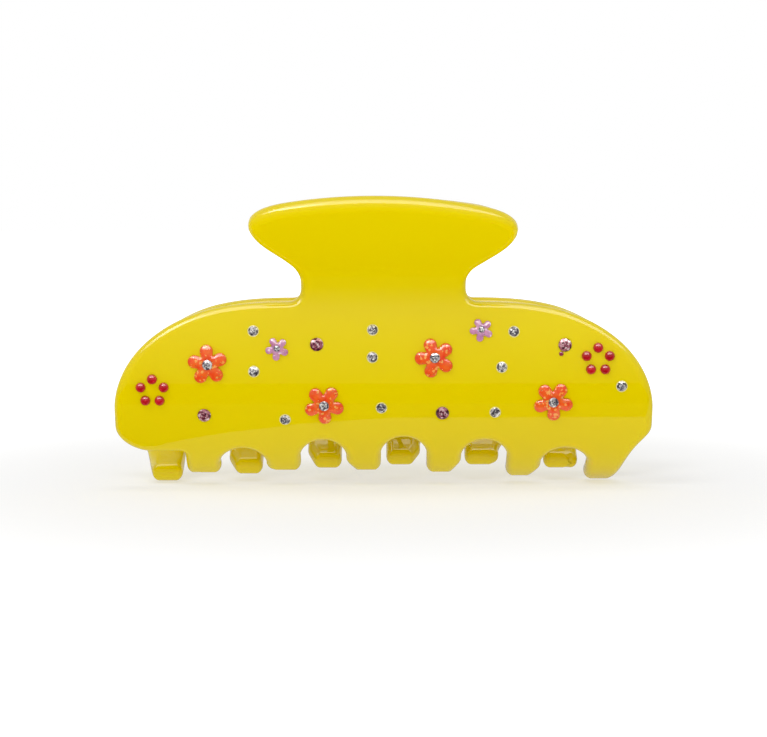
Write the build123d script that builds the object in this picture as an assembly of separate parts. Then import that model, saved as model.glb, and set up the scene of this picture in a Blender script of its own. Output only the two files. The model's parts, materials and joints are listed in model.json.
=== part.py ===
from build123d import *
import os
from math import asin, atan2, cos, degrees, hypot, pi, radians, sin

os.makedirs("parts", exist_ok=True)

# Claw hair clip, in millimetres. +Z is up, +X runs along the clip and the decorated jaw faces -Y.
# The origin is on the surface the clip stands on, midway between its two jaws.
# The two jaws are the same bent sheet. The rear one is the front one turned half round about Z.

# ---- sheet and its bent profile (tilts are those of the outer face, in degrees above level) ----
SHEET = 4.0                # thickness of the acetate sheet
BELLY_DEPTH = 14.6         # from the middle of the clip to the outer face at the belly
BODY_RADIUS = 35.0         # middle of the sheet, over the belly
BODY_TOP_TILT = 18.0
BODY_LOW_TILT = -20.0
CURL_RADIUS = 17.2         # middle of the sheet, where the teeth curl under
TIP_TILT = -80.0
NECK_RADIUS = 11.0         # middle of the sheet, where it turns outwards into the handle
HANDLE_TILT = -41.0
HANDLE_LENGTH = 15.8       # straight part of the handle, at its middle

# ---- front outline ----
JAW_LENGTH = 108.4
NECK_WIDTH = 33.2
HANDLE_WIDTH = 53.1
HANDLE_CROWN = 2.1         # how far the handle's ends fall below its middle
HANDLE_WIDEST = 8.4        # along the sheet, above the neck bend
HANDLE_CORNER_IN = 7.6     # from the widest place in to where the crown starts
CROWN_LEAN = -0.22         # slope of the crown where it meets the corner
UNDERSIDE_IN = 1.3         # a place on the handle's underside: in from its widest,
UNDERSIDE_DROP = 3.3       # and down the sheet from there
NECK_FLARE = 3.3           # how far the handle is wider than the neck where the bend ends
WAIST_TILT = -13.0         # tilt at which the neck is narrowest
WAIST_LAP = 1.4            # overlap of the two outlines that meet at the waist
SHOULDER_DROP = 1.4        # fall of the body's top edge from the neck to the shoulder
SHOULDER_RUN = 17.0        # from the end of the jaw in to the shoulder
SIDE_TILT = 2.0            # tilt at which the rounded end passes the side point
SIDE_IN = 3.4              # how far that side point is in from the end of the jaw
END_TILT = -14.5           # tilt at which the jaw is longest
NECK_FILLET = 2.6
TOP_EDGE_TILT = 7.5        # tilt of the neck bend at the body's top edge

# ---- teeth, measured along the bent sheet ----
TOOTH_COUNT = 6
TOOTH_WIDTH = 7.1
TOOTH_INSET = 9.1          # last tooth's centre, from the end of the jaw
TOOTH_TAPER = 1.1          # each side, over the taper length
TAPER_LENGTH = 2.8
TIPS_ARCH = 270.0          # radius of the line that the tips lie on
TIPS_MIDDLE = -12.0        # where that line is highest up the sheet
GAP_TILT = -28.3           # top of the middle gap
GAPS_ARCH = 205.0          # radius of the line that the tops of the gaps lie on
SHOULDER_TILT = -39.6      # bottom edge beyond the first tooth
CORNER_TILT = -33.1        # where the last tooth's long outer side starts
CORNER_IN = 2.2            # how far in from the end of the jaw it starts
SHOULDER_LENGTH = 6.5
HEEL_FILLET = 0.9
LAST_SIDE_LEAN = -0.36     # run over fall of the last tooth's long side
TIP_SPARE = 8              # degrees of sheet left beyond the tips for the trimming cuts

# ---- hinge ----
HINGE_RISE = 0.7           # pin above the centre of the neck bend
PIN_DIAMETER = 2.4
PIN_CLEARANCE = 0.05       # radial, in the lugs
HEAD_DIAMETER = 4.0
HEAD_THICKNESS = 0.9
LUG_THICKNESS = 3.0
LUG_BOSS_RADIUS = 3.3
LUG_HEIGHT = 8.4           # where it is welded to the jaw
LUG_INNER = 7.6            # from the middle of the clip to the inner lug's centre
LUG_GAP = 0.4              # between neighbouring lugs
HEAD_GAP = 0.1
WIRE = 1.1
COIL_RADIUS = 2.35         # middle of the wire
COIL_PITCH = 1.3
COIL_TURNS = 5             # whole turns, before the part turn that aims the legs
LEG_REACH = 4.6            # contact with the handle, above the neck bend
SPRING_GAP = 0.05

# ---- decorations: (across as a share of half the jaw, tilt on the belly, turn of the first petal) ----
SET_GAP = 0.03             # between a stone or cabochon and its seat
ORANGE_FLOWERS = [(-0.648, 0.6, 95), (-0.220, -12.0, -87), (0.189, 2.6, 109.5), (0.627, -11.0, -87)]
LILAC_FLOWERS = [(-0.392, 5.5, -96), (0.361, 11.2, -101)]
CLEAR_GEMS = [(-0.480, 11.0), (-0.040, 11.3), (0.481, 10.7), (-0.041, 2.8), (0.436, -0.3),
              (-0.478, -1.5), (0.879, -6.3), (-0.008, -13.1), (0.413, -14.6), (-0.365, -16.9)]
PINK_GEMS = [(-0.246, 6.8), (-0.664, -15.4), (0.218, -14.8), (0.669, 6.5)]
BEAD_RINGS = {"left": (-0.854, -7.7), "right": (0.791, 2.0)}

ORANGE_PETAL_REACH = 2.75
ORANGE_PETAL_RADIUS = 1.2
ORANGE_HEIGHT = 1.1
ORANGE_GEM = 2.0
LILAC_PETAL_REACH = 1.63
LILAC_PETAL_RADIUS = 0.72
LILAC_HEIGHT = 0.8
LILAC_GEM = 1.2
CLEAR_GEM = 2.05
PINK_GEM = 2.65
PETALS = 5
PETAL_DOME = 0.45          # fall of a petal's top towards its tip
MIDDLE_SHARE = 0.62        # a flower's middle, as a share of its petals' reach
WAIST_SHARE = 1.2          # a petal's narrow inner part, as a share of its end radius
STONE_TABLE = 0.3          # a stone's proportions, as shares of its diameter: half its table,
STONE_CROWN = 0.16         # the table above the girdle,
STONE_DEPTH = 0.4          # the point below it,
STONE_RIM = 0.03           # and half the girdle
BEAD = 2.05
BEAD_RING_RADIUS = 2.42
BEAD_COUNT = 5

# ---- worked out from the above ----
HALF = JAW_LENGTH / 2
HALF_SHEET = SHEET / 2
FAR = 2 * JAW_LENGTH       # reach of a cutting outline where it must not cut
CUT_REACH = 2.5 * SHEET    # half the depth of a cutter for the teeth


def along(tilt):
    """Outward normal of the sheet, as (towards the front, up)."""
    return cos(radians(tilt)), sin(radians(tilt))


def arc_point(centre, radius, tilt):
    """Point at a tilt on an arc about a centre; a negative radius is a bend the other way."""
    out, up = along(tilt)
    return centre[0] + radius * out, centre[1] + radius * up


def arc_span(tilt_a, tilt_b, radius):
    """Length of an arc between two tilts."""
    return abs(radians(tilt_a - tilt_b)) * radius


def bend_centres(belly_height):
    """Centres of the body arc, the curl and the neck bend, as (front, up)."""
    body = (BELLY_DEPTH - HALF_SHEET - BODY_RADIUS, belly_height)
    curl = arc_point(arc_point(body, BODY_RADIUS, BODY_LOW_TILT), -CURL_RADIUS, BODY_LOW_TILT)
    neck = arc_point(arc_point(body, BODY_RADIUS, BODY_TOP_TILT), NECK_RADIUS, BODY_TOP_TILT)
    return body, curl, neck


# the belly is as high as puts the tips of the longest teeth on the ground
BELLY_HEIGHT = -arc_point(bend_centres(0)[1], CURL_RADIUS + HALF_SHEET, TIP_TILT)[1]
BODY_CENTRE, CURL_CENTRE, NECK_CENTRE = bend_centres(BELLY_HEIGHT)
NECK_END = arc_point(NECK_CENTRE, -NECK_RADIUS, HANDLE_TILT)
HINGE_HEIGHT = NECK_CENTRE[1] + HINGE_RISE
OUTER_RADIUS = BODY_RADIUS + HALF_SHEET
PITCH = 2 * (HALF - TOOTH_INSET) / (TOOTH_COUNT - 0.5)
GAPS_MIDDLE = PITCH / 4
LAST_TOOTH = HALF - TOOTH_INSET
LUG_OUTER = LUG_INNER + LUG_THICKNESS + LUG_GAP


def chain(offset, low_tilt, extra):
    """Edges of the profile at an offset from the middle of the sheet, from the teeth to the handle."""
    def flat(point):
        return -point[0], point[1]

    def arc(centre, radius, tilt_a, tilt_b):
        middle = (tilt_a + tilt_b) / 2
        return ThreePointArc(*(flat(arc_point(centre, radius, t)) for t in (tilt_a, middle, tilt_b)))

    top = arc_point(NECK_CENTRE, offset - NECK_RADIUS, HANDLE_TILT)
    out, up = along(HANDLE_TILT)
    length = HANDLE_LENGTH + extra
    end = (top[0] - up * length, top[1] + out * length)
    return [arc(CURL_CENTRE, CURL_RADIUS + offset, low_tilt, BODY_LOW_TILT),
            arc(BODY_CENTRE, BODY_RADIUS + offset, BODY_LOW_TILT, BODY_TOP_TILT),
            arc(NECK_CENTRE, offset - NECK_RADIUS, BODY_TOP_TILT, HANDLE_TILT),
            Line(flat(top), flat(end))]


def bent_sheet():
    """The sheet bent to its profile, longer than the jaw at both edges so that outlines can trim it."""
    outer = chain(HALF_SHEET, TIP_TILT - TIP_SPARE, SHEET)
    inner = chain(-HALF_SHEET, TIP_TILT - TIP_SPARE, SHEET)
    ends = [Line(outer[0] @ 0, inner[0] @ 0), Line(outer[-1] @ 1, inner[-1] @ 1)]
    section = make_face(outer + inner + ends)
    return extrude(Plane.YZ * section, amount=HALF + 1, both=True)


def tilted_plane(point, tilt, x=0):
    """Plane on the sheet: its X runs along the clip, its Y up the sheet and its Z out of it."""
    out, up = along(tilt)
    return Plane(origin=(x, -point[0], point[1]), x_dir=(1, 0, 0), z_dir=(0, -out, up))


def handle_outline():
    """Handle and neck, seen square to the handle; below the neck it is as wide as can be."""
    neck = NECK_WIDTH / 2
    wide = HANDLE_WIDTH / 2
    top = HANDLE_LENGTH
    waist = -arc_span(HANDLE_TILT, WAIST_TILT, NECK_RADIUS)
    crown = (wide - HANDLE_CORNER_IN, top - HANDLE_CROWN)
    side = [Spline(crown, (wide, HANDLE_WIDEST), tangents=[(1, CROWN_LEAN), (0, -1)]),
            Spline((wide, HANDLE_WIDEST), (wide - UNDERSIDE_IN, HANDLE_WIDEST - UNDERSIDE_DROP),
                   (neck + NECK_FLARE, 0), (neck, waist), tangents=[(0, -1), (0, -1)]),
            Polyline((neck, waist), (neck, waist - WAIST_LAP), (FAR, waist - WAIST_LAP),
                     (FAR, -FAR), (0, -FAR))]
    half = [ThreePointArc((0, top), (crown[0] / 2, top - HANDLE_CROWN / 4), crown)] + side
    return make_face(half + [mirror(edge, about=Plane.YZ) for edge in half])


def body_outline():
    """Neck root, top edge and rounded ends, seen from the front; above and below it is wide."""
    neck = NECK_WIDTH / 2
    top = arc_point(NECK_CENTRE, -NECK_RADIUS, TOP_EDGE_TILT)[1]
    waist = arc_point(NECK_CENTRE, -NECK_RADIUS, WAIST_TILT)[1]
    shoulder = (HALF - SHOULDER_RUN, top - SHOULDER_DROP)
    side = (HALF - SIDE_IN, arc_point(BODY_CENTRE, BODY_RADIUS, SIDE_TILT)[1])
    end = (HALF, arc_point(BODY_CENTRE, BODY_RADIUS, END_TILT)[1])
    root = neck + NECK_FILLET
    half = [Polyline((0, FAR), (FAR, FAR), (FAR, waist), (neck, waist), (neck, top + NECK_FILLET)),
            RadiusArc((neck, top + NECK_FILLET), (root, top), -NECK_FILLET),
            Spline((root, top), shoulder, side, end, tangents=[(1, 0), (0, -1)]),
            Polyline(end, (HALF, -FAR), (0, -FAR))]
    return make_face(half + [mirror(edge, about=Plane.YZ) for edge in half])


END_PLANE_TILT = -42.0     # the ends and the shoulder are cut square to the sheet at this tilt


def projected(tilt, plane_tilt):
    """Height of a place on the curl, in a plane square to the sheet at another tilt."""
    return CURL_RADIUS * sin(radians(tilt - plane_tilt))


def tooth_tilt(x, length=0.0):
    """Tilt of the sheet on the line of the tips, or a length further up the teeth."""
    lift = ((LAST_TOOTH - TIPS_MIDDLE) ** 2 - (x - TIPS_MIDDLE) ** 2) / (2 * TIPS_ARCH)
    return TIP_TILT + degrees((lift + length) / CURL_RADIUS)


def gap_tilt(x):
    """Tilt of the sheet on the line of the tops of the gaps."""
    return GAP_TILT - degrees((x - GAPS_MIDDLE) ** 2 / (2 * GAPS_ARCH * CURL_RADIUS))


def curl_plane(tilt, x=0):
    """Plane on the middle of the curl at a tilt."""
    return tilted_plane(arc_point(CURL_CENTRE, CURL_RADIUS, tilt), tilt, x)


def tooth_gap(x):
    """Cutter for one gap between two teeth: round at its top and flared where it meets the tips."""
    half = (PITCH - TOOTH_WIDTH) / 2
    tilt = gap_tilt(x) - degrees(half / 2 / CURL_RADIUS)
    top = projected(gap_tilt(x), tilt)
    taper = projected(tooth_tilt(x, TAPER_LENGTH), tilt)
    low = projected(tooth_tilt(x), tilt)
    beyond = low - CURL_RADIUS / 2
    flare = half + TOOTH_TAPER
    edges = [ThreePointArc((-half, top - half), (0, top), (half, top - half)),
             Polyline((half, top - half), (half, taper), (flare, low), (flare, beyond),
                      (-flare, beyond), (-flare, low), (-half, taper), (-half, top - half))]
    return extrude(curl_plane(tilt, x) * make_face(edges), amount=CUT_REACH, both=True)


def end_outline():
    """Both ends of the jaw below the belly: the last tooth's long side and the shoulder by the first."""
    side = projected(BODY_LOW_TILT, END_PLANE_TILT)
    shoulder = projected(SHOULDER_TILT, END_PLANE_TILT)
    tip = projected(TIP_TILT, END_PLANE_TILT)
    corner = (HALF - CORNER_IN, projected(CORNER_TILT, END_PLANE_TILT))
    last = LAST_TOOTH + TOOTH_WIDTH / 2 - TOOTH_TAPER
    first = LAST_TOOTH - (TOOTH_COUNT - 1) * PITCH - TOOTH_WIDTH / 2
    taper = projected(tooth_tilt(first, TAPER_LENGTH), END_PLANE_TILT)
    heel = first - SHOULDER_LENGTH
    beyond = tip - CURL_RADIUS / 2
    edges = [Polyline((-HALF, side), (-HALF, FAR), (HALF, FAR), (HALF, side)),
             Spline((HALF, side), corner, (last, tip), tangents=[(0, -1), (LAST_SIDE_LEAN, -1)]),
             Polyline((last, tip), (last, beyond), (first + TOOTH_TAPER, beyond), (first + TOOTH_TAPER, tip),
                      (first, taper), (first, shoulder + HEEL_FILLET / 2), (first - HEEL_FILLET, shoulder),
                      (heel, shoulder)),
             Spline((heel, shoulder), (-HALF, side), tangents=[(-1, 0), (0, 1)])]
    return make_face(edges)


def tip_trim(k):
    """Block beyond one tooth's square-cut tip."""
    x = LAST_TOOTH - k * PITCH
    plane = curl_plane(tooth_tilt(x), x)
    block = Box(PITCH, CURL_RADIUS, 2 * CUT_REACH, align=(Align.CENTER, Align.MAX, Align.CENTER))
    return plane * block


def make_jaw():
    """The bent sheet, trimmed to its outline."""
    handle = extrude(tilted_plane(NECK_END, HANDLE_TILT) * handle_outline(), amount=FAR / 4, both=True)
    body = extrude(tilted_plane((0, 0), 0) * body_outline(), amount=FAR / 4, both=True)
    ends = extrude(curl_plane(END_PLANE_TILT) * end_outline(), amount=CUT_REACH, both=True)
    above = Box(FAR, FAR, FAR, align=(Align.CENTER, Align.CENTER, Align.MIN))
    cut_height = arc_point(BODY_CENTRE, BODY_RADIUS, BODY_LOW_TILT)[1]
    jaw = bent_sheet() & handle & body & (ends + Pos(0, 0, cut_height) * above)
    for k in range(TOOTH_COUNT):
        jaw -= tip_trim(k)
    for k in range(1, TOOTH_COUNT):
        jaw -= tooth_gap(LAST_TOOTH - (k - 0.5) * PITCH)
    return jaw.solid()


def inner_space():
    """Everything between the inner face of the front jaw and the far side of the clip."""
    inner = chain(-HALF_SHEET, TIP_TILT, 0)
    rear = JAW_LENGTH
    start, end = inner[0] @ 0, inner[-1] @ 1
    back = Polyline((end.X, end.Y), (rear, end.Y), (rear, start.Y), (start.X, start.Y))
    return extrude(Plane.YZ * make_face(inner + [back]), amount=HALF, both=True)


def make_lug(x, space):
    """Hinge lug: welded along the neck and tapered to a round boss about the pin."""
    axis = Pos(0, HINGE_HEIGHT)
    seat = NECK_CENTRE[0] - NECK_RADIUS
    low = HINGE_HEIGHT - LUG_HEIGHT / 2
    with BuildSketch() as shape:
        with Locations(axis):
            Circle(LUG_BOSS_RADIUS)
        with BuildSketch(mode=Mode.PRIVATE) as foot:
            with Locations((-seat, low)):
                Rectangle(SHEET / 2, LUG_HEIGHT, align=(Align.CENTER, Align.MIN))
        add(foot)
        make_hull()
        with Locations(axis):
            Circle(PIN_DIAMETER / 2 + PIN_CLEARANCE, mode=Mode.SUBTRACT)
    lug = extrude(Plane.YZ.offset(x) * shape.sketch, amount=LUG_THICKNESS / 2, both=True)
    return (lug & space).solid()


def make_pin():
    """Hinge pin: a shank through all four lugs, a turned head at +X and a peened end at -X."""
    reach = LUG_OUTER + LUG_THICKNESS / 2 + HEAD_GAP
    profile = Plane.YZ.offset(-reach) * Pos(0, HINGE_HEIGHT)
    shank = extrude(profile * Circle(PIN_DIAMETER / 2), amount=2 * reach)
    head = extrude(Plane.YZ.offset(reach) * Pos(0, HINGE_HEIGHT) * Circle(HEAD_DIAMETER / 2),
                   amount=HEAD_THICKNESS)
    peened = extrude(profile * Circle(HEAD_DIAMETER / 2), amount=-HEAD_THICKNESS)
    head = fillet(head.edges().filter_by(GeomType.CIRCLE).sort_by(Axis.X)[-1], HEAD_THICKNESS / 2)
    peened = fillet(peened.edges().filter_by(GeomType.CIRCLE).sort_by(Axis.X)[0], HEAD_THICKNESS / 2)
    return (shank + head + peened).solid()


def make_spring():
    """Torsion spring about the pin, with a leg against the inside of each handle."""
    out, up = along(HANDLE_TILT)
    face = arc_point(NECK_CENTRE, -NECK_RADIUS - HALF_SHEET, HANDLE_TILT)
    off = WIRE / 2 + SPRING_GAP
    contact = (face[0] - up * LEG_REACH - out * off, face[1] + out * LEG_REACH - up * off)
    front, rise = contact[0], contact[1] - HINGE_HEIGHT
    span = hypot(front, rise)
    leg_angle = pi - atan2(rise, front) - asin(COIL_RADIUS / span)
    start = degrees(leg_angle) + 90
    end = 360 * COIL_TURNS + 180 - degrees(leg_angle) - 90
    turns = (end - start + 360) / 360
    height = COIL_PITCH * turns
    coil = Pos(0, 0, -height / 2) * Rot(0, 0, start) * Helix(COIL_PITCH, height, COIL_RADIUS)
    leg = (span ** 2 - COIL_RADIUS ** 2) ** 0.5
    first = Line((coil @ 0) - (coil % 0) * leg, coil @ 0)
    last = Line(coil @ 1, (coil @ 1) + (coil % 1) * leg)
    path = Plane.YZ * Pos(0, HINGE_HEIGHT, 0) * Wire([first, coil, last])
    section = Plane(origin=path @ 0, z_dir=path % 0) * Circle(WIRE / 2)
    return sweep(section, path=path, is_frenet=True).solid()


def seat_plane(share, tilt, right=0.0, up=0.0):
    """Plane on the belly at a share of half the jaw and a tilt, then moved along the face in mm."""
    tilt = tilt + degrees(up / OUTER_RADIUS)
    return tilted_plane(arc_point(BODY_CENTRE, OUTER_RADIUS, tilt), tilt, share * HALF + right)


def belly_core(gap):
    """Solid cylinder under the outer face of the belly, grown by a gap."""
    centre = Pos(0, -BODY_CENTRE[0], BODY_CENTRE[1]) * Rot(0, 90, 0)
    return centre * Cylinder(OUTER_RADIUS + gap, 2 * JAW_LENGTH)


def stone(diameter, grow=0.0):
    """Round faceted stone, point down, with its girdle on the surface; grown for cutting its seat."""
    r = diameter / 2 + grow
    table = STONE_TABLE * diameter
    crown = STONE_CROWN * diameter
    depth = STONE_DEPTH * diameter + 1.5 * grow
    rim = STONE_RIM * diameter
    outline = Polyline((0, -depth), (r, -rim), (r, rim), (table, crown), (0, crown), (0, -depth))
    return revolve(Plane.XZ * make_face(outline), Axis.Z)


def stone_seat(diameter):
    """Drilled seat for a stone, open upwards."""
    body = stone(diameter, SET_GAP)
    return body + Cylinder(diameter / 2 + SET_GAP, 3 * diameter,
                           align=(Align.CENTER, Align.CENTER, Align.MIN))


def flower(reach, petal, height, gem, turn):
    """Five round petals about a middle, domed down towards their ends, with a seat for a stone."""
    outline = Sketch() + Circle(reach * MIDDLE_SHARE)
    for k in range(PETALS):
        spoke = Rot(0, 0, turn + 360 * k / PETALS)
        outline += spoke * Pos(reach, 0) * Circle(petal)
        outline += spoke * Pos(reach / 2, 0) * Rectangle(reach, petal * WAIST_SHARE)
    body = extrude(Pos(0, 0, -reach) * outline, amount=reach + height)
    edge = reach + petal
    dome = (edge ** 2 + PETAL_DOME ** 2) / (2 * PETAL_DOME)
    body &= Pos(0, 0, height - dome) * Sphere(dome)
    return body - Pos(0, 0, height - STONE_RIM * gem) * stone_seat(gem)


def bead():
    """Half-round cabochon, deep enough to be cut off by the face it sits on."""
    return Sphere(BEAD / 2)


def make_trim():
    """Every decoration by name, each cut to the belly that it sits on, and the seats of the set stones."""
    core = belly_core(SET_GAP)
    trim = {}
    seats = []
    flowers = [("orange_flower", ORANGE_FLOWERS, ORANGE_PETAL_REACH, ORANGE_PETAL_RADIUS,
                ORANGE_HEIGHT, ORANGE_GEM),
               ("lilac_flower", LILAC_FLOWERS, LILAC_PETAL_REACH, LILAC_PETAL_RADIUS,
                LILAC_HEIGHT, LILAC_GEM)]
    for name, places, reach, petal, height, gem in flowers:
        for k, (share, tilt, turn) in enumerate(places, 1):
            plane = seat_plane(share, tilt)
            body = (plane * flower(reach, petal, height, gem, turn)) - core
            trim[f"{name}_{k}"] = body.solid()
            trim[f"{name}_gem_{k}"] = plane * Pos(0, 0, height - STONE_RIM * gem) * stone(gem)
    for name, places, size in (("clear_gem", CLEAR_GEMS, CLEAR_GEM), ("pink_gem", PINK_GEMS, PINK_GEM)):
        for k, (share, tilt) in enumerate(places, 1):
            plane = seat_plane(share, tilt)
            trim[f"{name}_{k}"] = plane * stone(size)
            seats.append(plane * stone_seat(size))
    for side, (share, tilt) in BEAD_RINGS.items():
        for k in range(BEAD_COUNT):
            turn = radians(90 - 360 * k / BEAD_COUNT)
            plane = seat_plane(share, tilt, BEAD_RING_RADIUS * cos(turn), BEAD_RING_RADIUS * sin(turn))
            trim[f"red_bead_{side}_{k + 1}"] = ((plane * bead()) - core).solid()
    return trim, seats


def main():
    """Build every part of the clip and write it to its own file."""
    turned = Rot(0, 0, 180)
    jaw = make_jaw()
    space = inner_space()
    lug_right = make_lug(LUG_OUTER, space)
    lug_left = make_lug(-LUG_INNER, space)
    trim, seats = make_trim()
    decorated = jaw
    for seat in seats:
        decorated -= seat
    parts = {"front_jaw": decorated.solid(), "rear_jaw": turned * jaw,
             "front_lug_right": lug_right, "front_lug_left": lug_left,
             "rear_lug_left": turned * lug_right, "rear_lug_right": turned * lug_left,
             "hinge_pin": make_pin(), "torsion_spring": make_spring()}
    parts.update(trim)
    for name, solid in parts.items():
        export_step(solid, f"parts/{name}.step")


if __name__ == "__main__":
    main()
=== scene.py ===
"""Claw hair clip of bent yellow acetate, with resin flowers, cabochons and set stones.

Sizes are in millimetres, as a maker would mark them out, and become metres when a mesh is made.
Each jaw is marked out flat, as (across, up the sheet), and then bent to its profile.
"""

import json
import logging
from dataclasses import dataclass
from enum import Enum
from functools import cached_property
from math import asin, atan2, ceil, cos, degrees, hypot, pi, radians, sin, tan
from typing import Any, Sequence

import bpy
import numpy as np
from mathutils import Matrix, Vector
from mathutils.geometry import delaunay_2d_cdt


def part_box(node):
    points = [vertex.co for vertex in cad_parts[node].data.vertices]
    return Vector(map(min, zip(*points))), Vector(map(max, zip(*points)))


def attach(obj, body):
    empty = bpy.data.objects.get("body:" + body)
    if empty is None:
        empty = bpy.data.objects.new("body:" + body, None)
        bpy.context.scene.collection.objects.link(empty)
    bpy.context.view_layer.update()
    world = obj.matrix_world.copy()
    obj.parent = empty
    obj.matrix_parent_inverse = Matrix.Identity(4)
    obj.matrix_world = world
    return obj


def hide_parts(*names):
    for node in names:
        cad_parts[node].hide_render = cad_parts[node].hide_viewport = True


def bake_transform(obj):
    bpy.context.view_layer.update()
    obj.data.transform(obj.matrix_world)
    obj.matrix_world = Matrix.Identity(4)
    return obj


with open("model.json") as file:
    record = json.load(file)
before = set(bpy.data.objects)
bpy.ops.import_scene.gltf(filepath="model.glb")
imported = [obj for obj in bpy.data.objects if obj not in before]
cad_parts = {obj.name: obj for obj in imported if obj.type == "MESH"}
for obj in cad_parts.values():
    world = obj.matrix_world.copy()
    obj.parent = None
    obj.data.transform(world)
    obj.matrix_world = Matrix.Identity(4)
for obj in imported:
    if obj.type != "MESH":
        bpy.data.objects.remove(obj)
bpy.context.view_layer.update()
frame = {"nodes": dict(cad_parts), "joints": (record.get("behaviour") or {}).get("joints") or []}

MM = 0.001
Flat = tuple[float, float]
Colour = tuple[float, float, float]
Place = tuple[float, float, float]
LOG = logging.getLogger("clip")
LIGHTS_AIM = Vector((0, 0, 0.03))


class Half(Enum):
    """The two halves of the clip, named as their bodies."""

    FRONT = "front_half"
    REAR = "rear_half"


class Slot(Enum):
    """The record's material slots."""

    ACETATE = "yellow_acetate"
    ORANGE = "orange_resin"
    LILAC = "lilac_resin"
    RED = "red_resin"
    CLEAR = "clear_stone"
    PINK = "pink_stone"
    SPRING = "spring_steel"
    PIN = "pin_steel"


# ---------------------------------------------------------------- node graphs


class Signal:
    """One output socket, on which arithmetic adds Math nodes."""

    def __init__(self, graph: "Graph", socket: bpy.types.NodeSocket) -> None:
        """Keeps the socket and the graph that it belongs to."""
        self.graph = graph
        self.socket = socket

    def _math(self, operation: str, first: Any, second: Any = None) -> "Signal":
        """Adds a Math node.

        Args:
            operation: the node's operation.
            first: a signal or a number.
            second: a signal or a number, or None for an operation on one value.

        Returns:
            The node's result.
        """
        values = {0: first} if second is None else {0: first, 1: second}
        return self.graph.add("ShaderNodeMath", {"operation": operation}, values)

    def __add__(self, other: Any) -> "Signal":
        """Sum."""
        return self._math("ADD", self, other)

    def __radd__(self, other: Any) -> "Signal":
        """Sum, reflected."""
        return self._math("ADD", other, self)

    def __sub__(self, other: Any) -> "Signal":
        """Difference."""
        return self._math("SUBTRACT", self, other)

    def __rsub__(self, other: Any) -> "Signal":
        """Difference, reflected."""
        return self._math("SUBTRACT", other, self)

    def __mul__(self, other: Any) -> "Signal":
        """Product."""
        return self._math("MULTIPLY", self, other)

    def __rmul__(self, other: Any) -> "Signal":
        """Product, reflected."""
        return self._math("MULTIPLY", other, self)

    def above(self, level: float) -> "Signal":
        """1 where the signal is over a level, else 0."""
        return self._math("GREATER_THAN", self, level)


class Graph:
    """A shader or geometry node tree that is built by calls."""

    def __init__(self, tree: bpy.types.NodeTree) -> None:
        """Takes an empty tree."""
        self.tree = tree

    def feed(self, socket: bpy.types.NodeSocket, value: Any) -> None:
        """Links a signal to a socket, or sets the socket's own value.

        Args:
            socket: the input to feed.
            value: a signal, or a plain value.
        """
        if isinstance(value, Signal):
            self.tree.links.new(value.socket, socket)
        else:
            socket.default_value = value

    def add(self, kind: str, settings: dict[str, Any] | None = None,
            values: dict[int | str, Any] | None = None, out: int | str = 0) -> Signal:
        """Adds one node.

        Args:
            kind: the node's type.
            settings: its own settings, set before its sockets; "stops" are a ramp's.
            values: what its inputs take, by place or by name.
            out: which output to return.

        Returns:
            That output.
        """
        node = self.tree.nodes.new(kind)
        for name, value in (settings or {}).items():
            if name == "stops":
                self._ramp(node.color_ramp, value)
            else:
                setattr(node, name, value)
        for name, value in (values or {}).items():
            self.feed(node.inputs[name], value)
        return Signal(self, node.outputs[out])

    @staticmethod
    def _ramp(ramp: bpy.types.ColorRamp, stops: Sequence[tuple[float, Colour]]) -> None:
        """Sets a ramp's stops.

        Args:
            ramp: the ramp.
            stops: places and colours, in order.
        """
        while len(ramp.elements) < len(stops):
            ramp.elements.new(1.0)
        for element, (place, colour) in zip(ramp.elements, stops):
            element.position = place
            element.color = (*colour, 1.0)

    def blend_colours(self, share: Any, first: Any, second: Any) -> Signal:
        """Mixes two colours.

        Args:
            share: how much of the second colour, as a signal or a number.
            first: a signal or a colour.
            second: a signal or a colour.

        Returns:
            The mixed colour.
        """
        def whole(colour: Any) -> Any:
            """The colour with its fourth number."""
            return colour if isinstance(colour, Signal) else (*colour, 1.0)

        return self.add("ShaderNodeMix", {"data_type": "RGBA"},
                        {0: share, 6: whole(first), 7: whole(second)}, out=2)

    def place(self) -> Signal:
        """Object coordinates, in metres."""
        return self.add("ShaderNodeTexCoord", out="Object")

    def noise(self, scale: float, detail: float = 2.0, stretch: Colour = (1, 1, 1)) -> Signal:
        """Noise over the object.

        Args:
            scale: waves per metre.
            detail: octaves.
            stretch: how the pattern is scaled along each axis.

        Returns:
            The noise, about 0.5.
        """
        where = self.add("ShaderNodeMapping", values={"Vector": self.place(), "Scale": stretch})
        return self.add("ShaderNodeTexNoise",
                        values={"Vector": where, "Scale": scale, "Detail": detail})

    def bump(self, height: Signal, strength: float, depth: float) -> Signal:
        """Turns a height into a normal.

        Args:
            height: from 0 to 1.
            strength: share of the effect.
            depth: metres that a height of 1 stands for.

        Returns:
            The normal.
        """
        return self.add("ShaderNodeBump",
                        values={"Height": height, "Strength": strength, "Distance": depth})


# ------------------------------------------------------------------- finishes


class Finish:
    """What every finish does: it makes one material, the first time that it is asked for."""

    name: str

    @cached_property
    def material(self) -> bpy.types.Material:
        """The finish as a material."""
        material = bpy.data.materials.new(self.name)
        material.use_nodes = True
        tree = material.node_tree
        shader = tree.nodes["Principled BSDF"]
        graph = Graph(tree)
        for socket, value in self.surface(graph).items():
            graph.feed(shader.inputs[socket], value)
        return material

    def surface(self, graph: Graph) -> dict[str, Any]:
        """What the shader's sockets take.

        Args:
            graph: the material's node graph.

        Returns:
            A value or a signal for each socket by name.
        """
        raise NotImplementedError


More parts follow.
